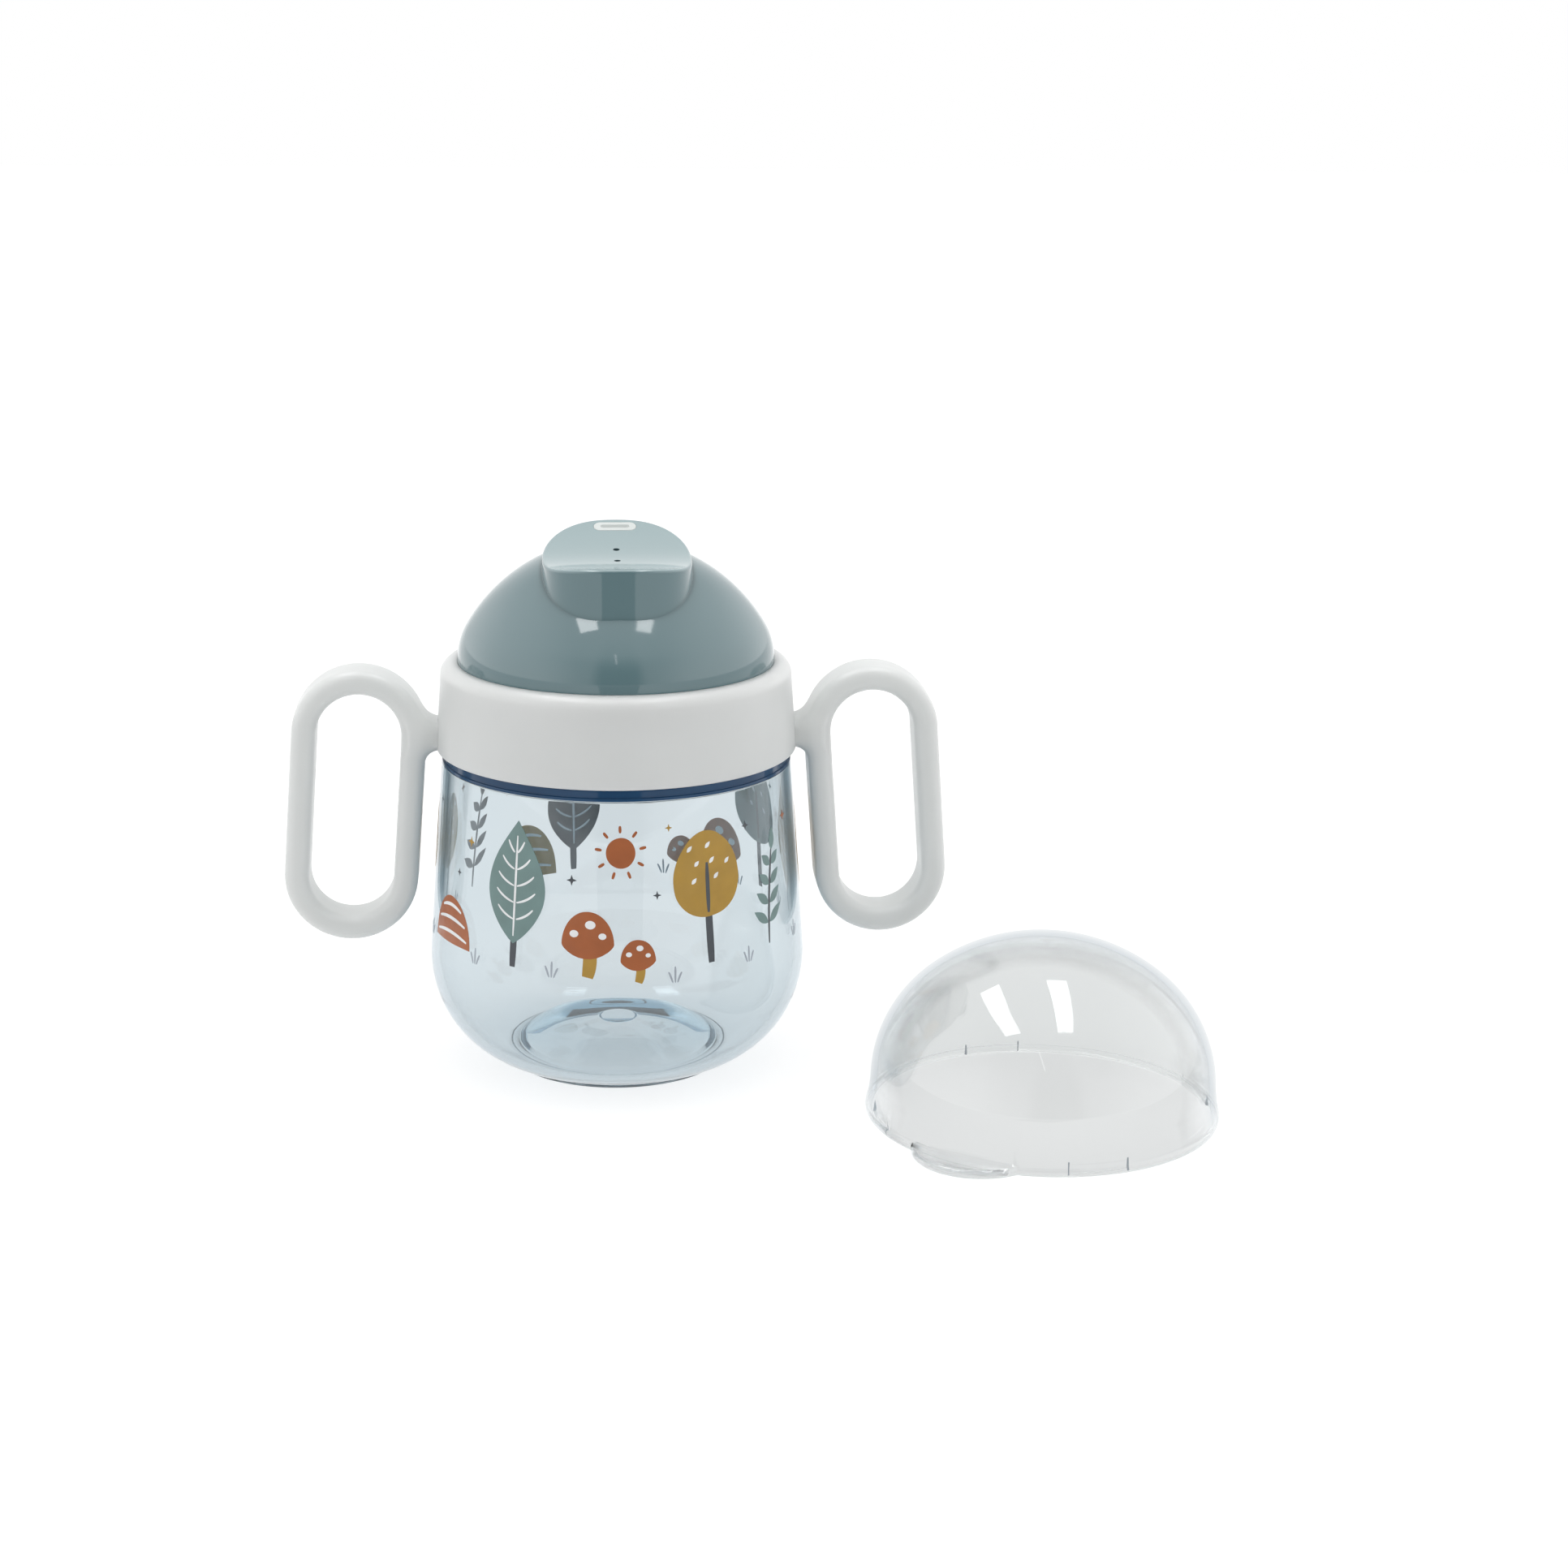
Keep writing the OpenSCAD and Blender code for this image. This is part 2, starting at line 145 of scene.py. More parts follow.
def insideOutline(points, outline):
    x, y = points[:, 0], points[:, 1]
    inside = np.zeros(len(points), bool)
    for a, b in zip(outline, np.roll(outline, -1, 0)):
        crosses = (a[1] > y) != (b[1] > y)
        rise = b[1] - a[1]
        edgeX = a[0] + (y - a[1]) * (b[0] - a[0]) / (rise if rise else 1)
        inside ^= crosses & (x < edgeX)
    return inside


def insideLoops(points, outer, *holes):
    inside = insideOutline(points, outer)
    for hole in holes:
        inside &= ~insideOutline(points, hole)
    return inside


# Fills a flat outline, with holes, by triangles about one spacing wide
def fillOutline(outer, holes, spacing):
    rowHeight = 0.87 * spacing
    edgeGap = 0.6 * spacing        # room between the loops and the points inside
    loops = [np.asarray(loop, float) for loop in [outer, *holes]]
    points = np.concatenate(loops)
    edges = []
    start = 0
    for loop in loops:
        edges += [(start + i, start + (i + 1) % len(loop)) for i in range(len(loop))]
        start += len(loop)
    low, high = loops[0].min(0), loops[0].max(0)
    xs = np.arange(low[0] + spacing / 2, high[0], spacing)
    ys = np.arange(low[1] + spacing / 2, high[1], rowHeight)
    grid = [(x + spacing / 2 * (k % 2), y) for k, y in enumerate(ys) for x in xs]
    grid = np.array(grid).reshape(-1, 2)
    grid = grid[insideLoops(grid, *loops)]
    if len(grid):
        gap = np.min(np.linalg.norm(grid[:, None] - points[None], axis=2), 1)
        points = np.concatenate([points, grid[gap > edgeGap]])
    made = delaunay_2d_cdt([Vector(p) for p in points], edges, [], 0, 1e-7)
    source = [origin[0] for origin in made[3]]
    faces = np.array([[source[v] for v in face] for face in made[2]])
    faces = faces[insideLoops(points[faces].mean(1), *loops)]
    return points, [tuple(int(v) for v in face) for face in faces]


# Collects rows of points and patches into one closed surface
class SurfaceStack:
    def __init__(self):
        self.points = []
        self.faces = []

    def add(self, points):
        start = len(self.points)
        self.points += [tuple(p) for p in points]
        return start

    def rows(self, rows):
        columns = len(rows[0])
        start = self.add(np.concatenate(rows))
        self.faces += gridFaces(len(rows), columns, start)

    def patch(self, points, faces):
        start = self.add(points)
        self.faces += [tuple(start + v for v in face) for face in faces]


# Materials

milkyReach = 5        # how far light spreads in milky plastic, in millimetres


def srgb(text):
    values = [int(text[i:i + 2], 16) / 255 for i in (0, 2, 4)]
    return tuple(v / 12.92 if v <= 0.04045 else ((v + 0.055) / 1.055) ** 2.4 for v in values)


def newMaterial(name):
    material = bpy.data.materials.new(name)
    material.use_nodes = True
    nodes = material.node_tree.nodes
    return material, nodes, material.node_tree.links, nodes["Principled BSDF"]


def noiseNode(nodes, links, scale, detail=2.0):
    place = nodes.new("ShaderNodeTexCoord")
    noise = nodes.new("ShaderNodeTexNoise")
    noise.inputs["Scale"].default_value = scale
    noise.inputs["Detail"].default_value = detail
    links.new(place.outputs["Object"], noise.inputs["Vector"])
    return noise.outputs["Fac"]


def rangeNode(nodes, links, value, low, high, fromLow=0.3, fromHigh=0.7):
    node = nodes.new("ShaderNodeMapRange")
    node.inputs["From Min"].default_value = fromLow
    node.inputs["From Max"].default_value = fromHigh
    node.inputs["To Min"].default_value = low
    node.inputs["To Max"].default_value = high
    links.new(value, node.inputs["Value"])
    return node.outputs["Result"]


def mathNode(nodes, links, operation, first, second):
    node = nodes.new("ShaderNodeMath")
    node.operation = operation
    for socket, value in zip(node.inputs, (first, second)):
        if isinstance(value, (int, float)):
            socket.default_value = value
        else:
            links.new(value, socket)
    return node.outputs[0]


# Each colour is a fixed one or comes from another node
def mixColours(nodes, links, factor, first, second):
    mix = nodes.new("ShaderNodeMix")
    mix.data_type = "RGBA"
    links.new(factor, mix.inputs["Factor"])
    for socket, colour in ((mix.inputs["A"], first), (mix.inputs["B"], second)):
        if isinstance(colour, tuple):
            socket.default_value = (*colour, 1)
        else:
            links.new(colour, socket)
    return mix.outputs["Result"]


def mixShaders(nodes, links, factor, first, second):
    mix = nodes.new("ShaderNodeMixShader")
    for socket, value in zip(mix.inputs, (factor, first, second)):
        links.new(value, socket)
    return mix.outputs[0]


def addWear(nodes, links, shader, look, detail):
    wear = noiseNode(nodes, links, look["wearScale"], detail)
    links.new(rangeNode(nodes, links, wear, *look["roughness"]), shader.inputs["Roughness"])


def addBump(nodes, links, shader, height, strength, depth):
    bump = nodes.new("ShaderNodeBump")
    bump.inputs["Strength"].default_value = strength
    bump.inputs["Distance"].default_value = depth * mm
    links.new(height, bump.inputs["Height"])
    links.new(bump.outputs["Normal"], shader.inputs["Normal"])


# Moulded plastic or silicone: slight clouding, uneven gloss and a fine skin
def mouldedMaterial(name, look):
    material, nodes, links, shader = newMaterial(name)
    cloud = noiseNode(nodes, links, look["cloudScale"], 3.0)
    fade = rangeNode(nodes, links, cloud, 0.0, 1.0)
    colour = mixColours(nodes, links, fade, look["colour"], look["shade"])
    links.new(colour, shader.inputs["Base Color"])
    addWear(nodes, links, shader, look, 4.0)
    skin = noiseNode(nodes, links, look["skinScale"], 2.0)
    addBump(nodes, links, shader, skin, look["skinStrength"], look["skinDepth"])
    shader.inputs["IOR"].default_value = look["ior"]
    shader.inputs["Subsurface Weight"].default_value = look.get("milky", 0)
    shader.inputs["Subsurface Radius"].default_value = (1, 1, 1)
    shader.inputs["Subsurface Scale"].default_value = milkyReach * mm
    return material


# Clear plastic: glass that lets lamps through and is tinted by its depth
# Light that stays caught in it is let out, and near the outline the shine gives way to a plain tint
def clearMaterial(name, look):
    material, nodes, links, shader = newMaterial(name)
    shader.inputs["Base Color"].default_value = (*look["tint"], 1)
    shader.inputs["Transmission Weight"].default_value = 1
    shader.inputs["IOR"].default_value = look["ior"]
    addWear(nodes, links, shader, look, 3.0)
    wave = noiseNode(nodes, links, look["waveScale"], 1.0)
    addBump(nodes, links, shader, wave, look["waveStrength"], look["waveDepth"])
    edge = nodes.new("ShaderNodeLayerWeight")
    plain = rangeNode(nodes, links, edge.outputs["Facing"], 0.0, look["edgePlain"], *look["edgeFade"])
    path = nodes.new("ShaderNodeLightPath")
    caught = mathNode(nodes, links, "GREATER_THAN", path.outputs["Ray Depth"], look["caughtAfter"])
    freed = mathNode(nodes, links, "MAXIMUM", path.outputs["Is Shadow Ray"], caught)
    through = nodes.new("ShaderNodeBsdfTransparent")
    through.inputs["Color"].default_value = (*look["shadow"], 1)
    share = mathNode(nodes, links, "MAXIMUM", plain, freed)
    surface = mixShaders(nodes, links, share, shader.outputs[0], through.outputs[0])
    depth = nodes.new("ShaderNodeVolumeAbsorption")
    depth.inputs["Color"].default_value = (*look["depthColour"], 1)
    depth.inputs["Density"].default_value = look["depthDensity"]
    out = nodes["Material Output"]
    links.new(surface, out.inputs["Surface"])
    links.new(depth.outputs[0], out.inputs["Volume"])
    return material


# Cup

cupValues = {
    "tint": (1.0, 1.0, 1.0),
    "ior": 1.5,
    "roughness": (0.0, 0.02),
    "wearScale": 60,
    "waveScale": 45,
    "waveStrength": 0.05,
    "waveDepth": 0.4,
    "shadow": (0.85, 0.92, 0.95),
    "depthColour": (0.07, 0.52, 0.72),
    "depthDensity": 63,
    "caughtAfter": 8.5,
    "edgePlain": 0.12,
    "edgeFade": (0.5, 0.85),
    # shape, in millimetres and degrees
    "bodyR": 38.0,
    "heelR": 21.0,
    "heelH": 22.4,
    "flare": 4.3,
    "shoulderZ": 63.4,
    "wall": 1.8,
    "footR": 22.3,
    "pushR": 18.4,
    "pushH": 6.2,
    "pushEdge": 1.4,
    "floorT": 1.6,
    "floorFall": 3.4,
    "floorR": 18.6,
    "floorBlend": 2.4,
    "gateR": 3.6,
    "gateH": 0.6,
    "gateSlope": 0.25,
    "gateRound": 0.3,
    "gateClear": 0.9,
    "pushClear": 2.2,
    "pushSet": (0.2, 0.1),
    "pushRound": 1.4,
    "footIn": 0.9,
    "footRound": 0.3,
    "heelRound": 0.4,
    "fineRound": 0.1,
    "rimRound": 0.5,
    "neckRound": 0.4,
    "boreRise": 0.3,
    "heelStartDeg": 5,
    "bowlDeg": -20,
    "threadHigh": 10.0,
    "underRows": 18,
    "heelRows": 44,
    "bowlRows": 20,
    "floorRows": 64,
    "shoulderW": 4.0,
    "shoulderWeb": 0.5,
    "ledgeH": 1.6,
    "ledgeSet": 0.4,
    "bandDrop": 0.6,
    "rimZ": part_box("cup")[1].z / mm,
    "columns": 224,
}
# The screw ridge on the neck and its match inside the collar
thread = {
    "lead": 4.0,
    "turns": 1.25,
    "height": 1.6,
    "rootW": 2.2,
    "crestW": 0.9,
    "rise": 2.6,
    "clear": 0.5,
    "fadeTurns": 0.05,
    "rowStep": 0.22,
    "endRoom": 1.0,
}

lean = math.radians(cupValues["flare"])
heelX = cupValues["bodyR"] - cupValues["heelR"]
heelReach = math.hypot(cupValues["heelR"] * math.cos(lean), cupValues["heelH"] * math.sin(lean))
shoulderR = (
    heelX
    + heelReach / math.cos(lean)
    - (cupValues["shoulderZ"] - cupValues["heelH"]) * math.tan(lean)
)
neckR = shoulderR - cupValues["shoulderW"]
boreR = neckR - cupValues["wall"]
ledgeZ = cupValues["shoulderZ"] + cupValues["ledgeH"]
bandZ = cupValues["shoulderZ"] - cupValues["bandDrop"]


def wallR(z):
    return shoulderR + (cupValues["shoulderZ"] - z) * math.tan(lean)


# Height of the screw ridge above its wall, for a thread that starts at startZ
def ridgeHeight(angle, z, startZ):
    height = np.zeros(z.shape)
    for turn in range(math.ceil(thread["turns"])):
        along = angle / (2 * math.pi) + turn
        off = np.abs(z - startZ - thread["lead"] * along)
        flank = (thread["rootW"] / 2 - off) / ((thread["rootW"] - thread["crestW"]) / 2)
        toEnd = np.minimum(along, thread["turns"] - along)
        ends = np.clip(toEnd / thread["fadeTurns"], 0, 1)
        height = np.maximum(height, thread["height"] * np.clip(flank, 0, 1) * ends)
    return height


# Heights of the rows that carry the screw ridge
def threadRows(low, high):
    return np.arange(low, high, thread["rowStep"])


def cupOutline():
    s = cupValues
    rise = s["pushH"] - s["pushEdge"]
    ballR = (s["pushR"] ** 2 + rise ** 2) / (2 * rise)
    ballZ = s["pushH"] - ballR

    def under(r):
        return ballZ + math.sqrt(ballR ** 2 - r * r)

    # Points along the oval heel, taken in by inset
    def heelPoints(inset, startDeg, endDeg, steps):
        angles = np.radians(np.linspace(startDeg, endDeg, steps + 1))
        r = heelX + (s["heelR"] - inset) * np.cos(angles)
        z = s["heelH"] + (s["heelH"] - inset) * np.sin(angles)
        return list(zip(r, z))

    # Inside, a flat-topped floor falls to a soft valley at the heel
    def floor(r):
        part = max(r - heelX, 0) / (s["heelR"] - s["wall"])
        bowl = s["heelH"] - (s["heelH"] - s["wall"]) * math.sqrt(1 - part * part)
        rise = s["pushH"] + s["floorT"] - s["floorFall"] * (r / s["floorR"]) ** 4
        mix = max(s["floorBlend"] - abs(bowl - rise), 0) / s["floorBlend"]
        return max(bowl, rise) + mix * mix * s["floorBlend"] / 4

    footDeg = -math.degrees(math.acos((s["footR"] - heelX) / s["heelR"]))
    wallDeg = math.degrees(math.atan(s["heelH"] / s["heelR"] * math.tan(lean)))
    bowlR = heelX + (s["heelR"] - s["wall"]) * math.cos(math.radians(s["bowlDeg"]))
    wallTopZ = bandZ - s["shoulderWeb"]
    gateFootR = s["gateR"] + s["gateSlope"]
    underR = np.linspace(s["gateR"] + s["gateClear"], s["pushR"] - s["pushClear"], s["underRows"])
    threadZ = threadRows(ledgeZ + thread["endRoom"], ledgeZ + s["threadHigh"])
    corners = [
        (0, s["pushH"] - s["gateH"]),
        (s["gateR"], s["pushH"] - s["gateH"], s["gateRound"]),
        (gateFootR, under(gateFootR), s["fineRound"]),
        *[(r, under(r)) for r in underR],
        (s["pushR"] - s["pushSet"][0], s["pushEdge"] + s["pushSet"][1], s["pushRound"]),
        (s["pushR"] + s["footIn"], 0, s["footIn"]),
        (s["footR"], 0, s["footRound"]),
        (*heelPoints(0, footDeg, 0, 1)[0], s["heelRound"]),
        *heelPoints(0, footDeg + s["heelStartDeg"], wallDeg, s["heelRows"]),
        (wallR(bandZ), bandZ, s["fineRound"]),
        (neckR, bandZ, s["fineRound"]),
        *[(neckR, z) for z in threadZ],
        (neckR, s["rimZ"], s["rimRound"]),
        (boreR, s["rimZ"], s["rimRound"]),
        (boreR, wallTopZ + s["boreRise"], s["neckRound"]),
        (wallR(wallTopZ) - s["wall"] / math.cos(lean), wallTopZ, s["neckRound"]),
        *heelPoints(s["wall"], wallDeg, s["bowlDeg"], s["bowlRows"]),
        *[(r, floor(r)) for r in np.linspace(bowlR, 0, s["floorRows"])[1:]],
    ]
    return roundedOutline(corners)


def makeCup():
    def swell(angle, r, z):
        onNeck = (np.abs(r - neckR) < closeBy) & (z < cupValues["rimZ"] - thread["endRoom"])
        return ridgeHeight(angle, z, ledgeZ + thread["rise"]) * onNeck

    outline = cupOutline()
    points = turnedPoints(outline, evenAngles(cupValues["columns"]), swell)
    faces = gridFaces(len(outline), cupValues["columns"])
    piece = meshPiece("cup_body", points.reshape(-1, 3), faces)
    placePiece(piece, "cup", clearMaterial("cup clear", cupValues), "cup")


makeCup()
print("cup made")


# Shoulder ledge of the cup, seen edge-on: an opaque navy ring for the deepest tint, with painted shade
# from under the collar

ledgeValues = {
    # opaque navy: the clear plastic's deep tint seen edge-on, with painted shade under the collar
    "colour": srgb("1a476d"),
    "shade": srgb("173f63"),
    "cloudScale": 120,
    "roughness": (0.05, 0.11),
    "wearScale": 90,
    "skinScale": 300,
    "skinStrength": 0.01,
    "skinDepth": 0.1,
    "ior": 1.36,
    # shape
    "lift": 0.02,
    "neckGap": 0.05,
    "wallRound": 0.05,
    "edgeRound": 0.1,
    "stepRound": 0.25,
    "topRound": 0.4,
}


def makeLedge():
    s = ledgeValues
    low, step, high = bandZ + s["lift"], cupValues["shoulderZ"], ledgeZ
    outer = shoulderR - cupValues["ledgeSet"]
    inner = neckR + s["neckGap"]
    outline = roundedOutline(
        [
            (inner, low, s["edgeRound"]),
            (wallR(low), low, s["wallRound"]),
            (shoulderR, step, s["stepRound"]),
            (outer, step, s["edgeRound"]),
            (outer, high, s["topRound"]),
            (inner, high, s["edgeRound"]),
        ],
        closed=True,
    )
    points = turnedPoints(outline, evenAngles(cupValues["columns"]))
    faces = gridFaces(len(outline), cupValues["columns"], wrapRows=True)
    piece = meshPiece("cup_ledge", points.reshape(-1, 3), faces)
    placePiece(piece, "cup", mouldedMaterial("ledge deep tint and painted shade", ledgeValues), "cup")


makeLedge()
print("shoulder ledge made")


# Screw collar with its two loop handles

collarValues = {
    "colour": srgb("dcdedd"),
    "shade": srgb("d7d9d8"),
    "cloudScale": 35,
    "roughness": (0.34, 0.46),
    "wearScale": 80,
    "skinScale": 1500,
    "skinStrength": 0.06,
    "skinDepth": 0.05,
    "ior": 1.49,
    "milky": 0.8,
    # ring
    "gap": 1.8,
    "over": 1.05,
    "draft": 3.9,
    "topRound": 2.6,
    "edge": 0.4,
    "lipEdge": 0.08,
    "lipRise": 3.1,
    "lipT": 2.2,
    "lipW": 1.5,
    "threadLow": 2.2,
    "threadHigh": 12.0,
    "columns": 224,
    # handles
    "loopH": 55.5,
    "loopW": 26.6,
    "barW": 4.85,
    "barD": 10.4,
    "barRound": 1.9,
    "loopGap": 3.3,
    "loopDrop": 1.25,
    "stalkH": 5.6,
    "stalkD": 9.8,
    "stalkBlend": 3.2,
    "stalkStart": 0.9,
    "step": 0.55,
}
collarZ = cupValues["shoulderZ"] + collarValues["gap"]
collarR = shoulderR + collarValues["over"]
collarInR = neckR + thread["height"] + thread["clear"]
lipZ = cupValues["rimZ"] + collarValues["lipRise"]
collarTopZ = lipZ + collarValues["lipT"]
collarTopR = collarR - (collarTopZ - collarZ) * math.tan(math.radians(collarValues["draft"]))


def collarRing():
    openR = collarInR - collarValues["lipW"]
    edge = collarValues["edge"]
    lipEdge = collarValues["lipEdge"]
    threadZ = threadRows(collarZ + collarValues["threadLow"], collarZ + collarValues["threadHigh"])[::-1]
    outline = roundedOutline(
        [
            (collarR, collarZ, edge),
            (collarTopR, collarTopZ, collarValues["topRound"]),
            (openR, collarTopZ, lipEdge),
            (openR, lipZ, lipEdge),
            (collarInR, lipZ, edge),
            *[(collarInR, z) for z in threadZ],
            (collarInR, collarZ, edge),
        ],
        closed=True,
        steps=7,
    )

    def swell(angle, r, z):
        inRange = (z > collarZ + thread["endRoom"]) & (z < lipZ - thread["endRoom"])
        onWall = (np.abs(r - collarInR) < closeBy) & inRange
        return -ridgeHeight(angle, z, ledgeZ + thread["rise"] + thread["lead"] / 2) * onWall

    points = turnedPoints(outline, evenAngles(collarValues["columns"]), swell)
    faces = gridFaces(len(outline), collarValues["columns"], wrapRows=True)
    return meshPiece("handle_collar_ring", points.reshape(-1, 3), faces)


loopMidR = (collarValues["loopW"] - collarValues["barW"]) / 2
loopHalf = (collarValues["loopH"] - collarValues["loopW"]) / 2
loopZ = collarTopZ - collarValues["loopDrop"] - loopHalf * math.cos(lean) - collarValues["loopW"] / 2
loopX = wallR(loopZ) + (collarValues["loopGap"] + collarValues["loopW"] / 2) / math.cos(lean)
stalkMidZ = collarZ + collarValues["stalkH"] / 2
stalkEndX = loopX - loopMidR / math.cos(lean) - (stalkMidZ - loopZ) * math.tan(lean)


def roundedBox(a, b, halfA, halfB, radius):
    qa = np.abs(a) - (halfA - radius)
    qb = np.abs(b) - (halfB - radius)
    return np.hypot(np.maximum(qa, 0), np.maximum(qb, 0)) + np.minimum(np.maximum(qa, qb), 0) - radius


# Distance to the handle on the +X side, with a soft blend where the stalk meets the loop
def handleDistance(x, y, z):
    h = collarValues
    across = (x - loopX) * math.cos(lean) + (z - loopZ) * math.sin(lean)
    along = -(x - loopX) * math.sin(lean) + (z - loopZ) * math.cos(lean)
    offLine = np.hypot(across, np.maximum(np.abs(along) - loopHalf, 0)) - loopMidR
    loop = roundedBox(offLine, y, h["barW"] / 2, h["barD"] / 2, h["barRound"])
    stalk = roundedBox(y, z - stalkMidZ, h["stalkD"] / 2, h["stalkH"] / 2, h["barRound"])
    stalk = np.maximum(stalk, np.maximum(collarInR + h["stalkStart"] - x, x - stalkEndX))
    mix = np.maximum(h["stalkBlend"] - np.abs(loop - stalk), 0) / h["stalkBlend"]
    return np.minimum(loop, stalk) - mix * mix * h["stalkBlend"] / 4


# Meshes a distance function: one point in each cell that the surface crosses
def surfaceNet(distance, low, high, step):
    low = np.array(low, float)
    counts = np.ceil((np.array(high) - low) / step).astype(int) + 1
    axes = [low[k] + step * np.arange(counts[k]) for k in range(3)]
    inside = distance(*np.meshgrid(*axes, indexing="ij")) < 0
    cells = counts - 1
    total = np.zeros(cells, int)
    for i in range(8):
        dx, dy, dz = i & 1, i >> 1 & 1, i >> 2 & 1
        total += inside[dx:dx + cells[0], dy:dy + cells[1], dz:dz + cells[2]]
    crossed = (total > 0) & (total < 8)
    index = np.full(cells, -1)
    index[crossed] = np.arange(crossed.sum())
    points = low + step * (np.argwhere(crossed) + 0.5)
    nudge = 0.01
    pulls = 6
    leastSlope = 0.2
    for _ in range(pulls):        # pull each point onto the surface
        off = distance(*points.T)
        slope = np.stack(
            [
                distance(*(points + nudge * axis).T) - distance(*(points - nudge * axis).T)
                for axis in np.eye(3)
            ],
            -1,
        ) / (2 * nudge)
        points -= (off / np.maximum((slope ** 2).sum(1), leastSlope))[:, None] * slope
    faces = []
    for a in range(3):
        b, c = (a + 1) % 3, (a + 2) % 3
        first = np.take(inside, range(counts[a] - 1), axis=a)
        second = np.take(inside, range(1, counts[a]), axis=a)
        edges = np.argwhere(first != second)
        ring = []
        for db, dc in ((0, 0), (-1, 0), (-1, -1), (0, -1)):
            cell = edges.copy()
            cell[:, b] += db
            cell[:, c] += dc
            ring.append(index[tuple(cell.T)])
        faces += [tuple(int(v) for v in quad) for quad in np.stack(ring, 1)]
    return points, faces


def joinSolid(base, other):
    union = base.modifiers.new("join", "BOOLEAN")
    union.operation = "UNION"
    union.solver = "EXACT"
    union.object = other
    with bpy.context.temp_override(object=base, active_object=base):
        bpy.ops.object.modifier_apply(modifier=union.name)
    bpy.data.objects.remove(other)


# Cuts the many-sided faces that a union leaves into triangles
def cutManySided(mesh):
    work = bmesh.new()
    work.from_mesh(mesh)
    bmesh.ops.triangulate(work, faces=[face for face in work.faces if len(face.verts) > 4])
    work.to_mesh(mesh)
    work.free()


def makeCollar():
    h = collarValues
    ring = collarRing()
    margin = 1.3 * h["step"]        # more than one cell round the handle
    reach = loopX + h["loopW"] / 2 + loopHalf * math.sin(lean)
    low = (collarInR, -h["barD"] / 2 - margin, loopZ - h["loopH"] / 2 - margin)
    high = (reach + margin, h["barD"] / 2 + margin, loopZ + h["loopH"] / 2 + margin)
    points, faces = surfaceNet(handleDistance, low, high, h["step"])
    for side in (1, -1):
        loop = meshPiece("handle_loop", points * (side, side, 1), faces)
        joinSolid(ring, loop)
    cutManySided(ring.data)
    ring.name = "handle_collar_body"
    crispEdges(ring.data)
    white = mouldedMaterial("collar white", collarValues)
    placePiece(ring, "collar", white, "handle_collar")


makeCollar()
print("collar and handles made")


# Lid: dome, scooped spout and drinking window

lidValues = {
    "colour": srgb("607b80"),
    "shade": srgb("5c777c"),
    # painted sheen: a paler colour on the scoop's up-facing open top, standing in for its reflection
    "scoop": srgb("93a8ab"),
    "scoopSheenBlend": 0.3,
    "scoopSheenFacing": (0.4, 0.9),
    # painted shade in tight corners: reach, darkest level and occlusion span
    "cornerReach": 1.4,
    "cornerPaintedShade": 0.6,
    "cornerShut": (0.78, 0.97),
    "cloudScale": 30,
    "roughness": (0.05, 0.09),
    "wearScale": 70,
    "skinScale": 500,
    "skinStrength": 0.003,
    "skinDepth": 0.04,
    "ior": 1.58,
    # shape
    "wall": 1.6,
    "spoutWall": 1.2,
    "clear": 0.35,
    "domeClear": 0.03,
    "sideR": 13.0,
    "domeH": 23.5,
    "step": 0.5,
    "flangeT": 1.8,
    "flangeClear": 0.1,
    "skirtH": 3.0,
    "skirtClear": 0.4,
    "spoutW": 29.2,
    "spoutL": 34.2,
    "spoutFore": 7.9,
    "square": 2.5,
    "scoopR": 52.0,
    "scoopLow": 21.6,
    "scoopFore": 13.6,
    "draft": 1.5,
    "rimRound": 0.6,
    "footFillet": 0.12,
    "rowsRim": 8,
    "rowsWall": 7,
    "rowsFillet": 7,
    "rowsDome": 44,
    "rowsInner": 24,
    "rowsHollow": 4,
    "flangeRound": 0.25,
    "skirtRound": 0.4,
    "hollowRound": 0.3,
    "domeFoot": 0.1,
    "windowL": 8.5,
    "windowW": 2.7,
    "windowSet": 2.9,
    "windowRound": 0.1,
    "ventR": 0.65,
    "ventFore": 10.0,
    "ventPitch": 6.8,
    "topSpacing": 0.8,
    "underSpacing": 1.4,
    "columns": 256,
}
domeR = collarInR - collarValues["lipW"] - lidValues["domeClear"]
domeZ = collarTopZ + lidValues["step"]
flangeTopZ = lipZ - lidValues["flangeClear"]
flangeZ = flangeTopZ - lidValues["flangeT"]
skirtR = boreR - lidValues["skirtClear"]
scoopAxisZ = collarTopZ + lidValues["scoopLow"] + lidValues["scoopR"]
windowY = lidValues["spoutL"] / 2 - lidValues["spoutFore"] - lidValues["windowSet"]


# Half profile of a dome that springs upright: radius, height and length along it
def domeWalk(r, side, height, z, inset, steps=600):
    crown = ((r - side) ** 2 + height ** 2 - side ** 2) / (2 * (height - side))
    meet = math.degrees(math.atan2(crown - height, r - side))
    top = arcPoints((0, z + height - crown), crown - inset, 90, meet, steps)
    flank = arcPoints((r - side, z), side - inset, meet, 0, steps)
    path = np.array(top + flank[1:])
    lengths = np.r_[0, np.cumsum(np.linalg.norm(np.diff(path, axis=0), axis=1))]
    return path[:, 0], path[:, 1], lengths


def scoopZ(y, inset=0.0):
    return scoopAxisZ - np.sqrt((lidValues["scoopR"] + inset) ** 2 - (y + lidValues["scoopFore"]) ** 2)


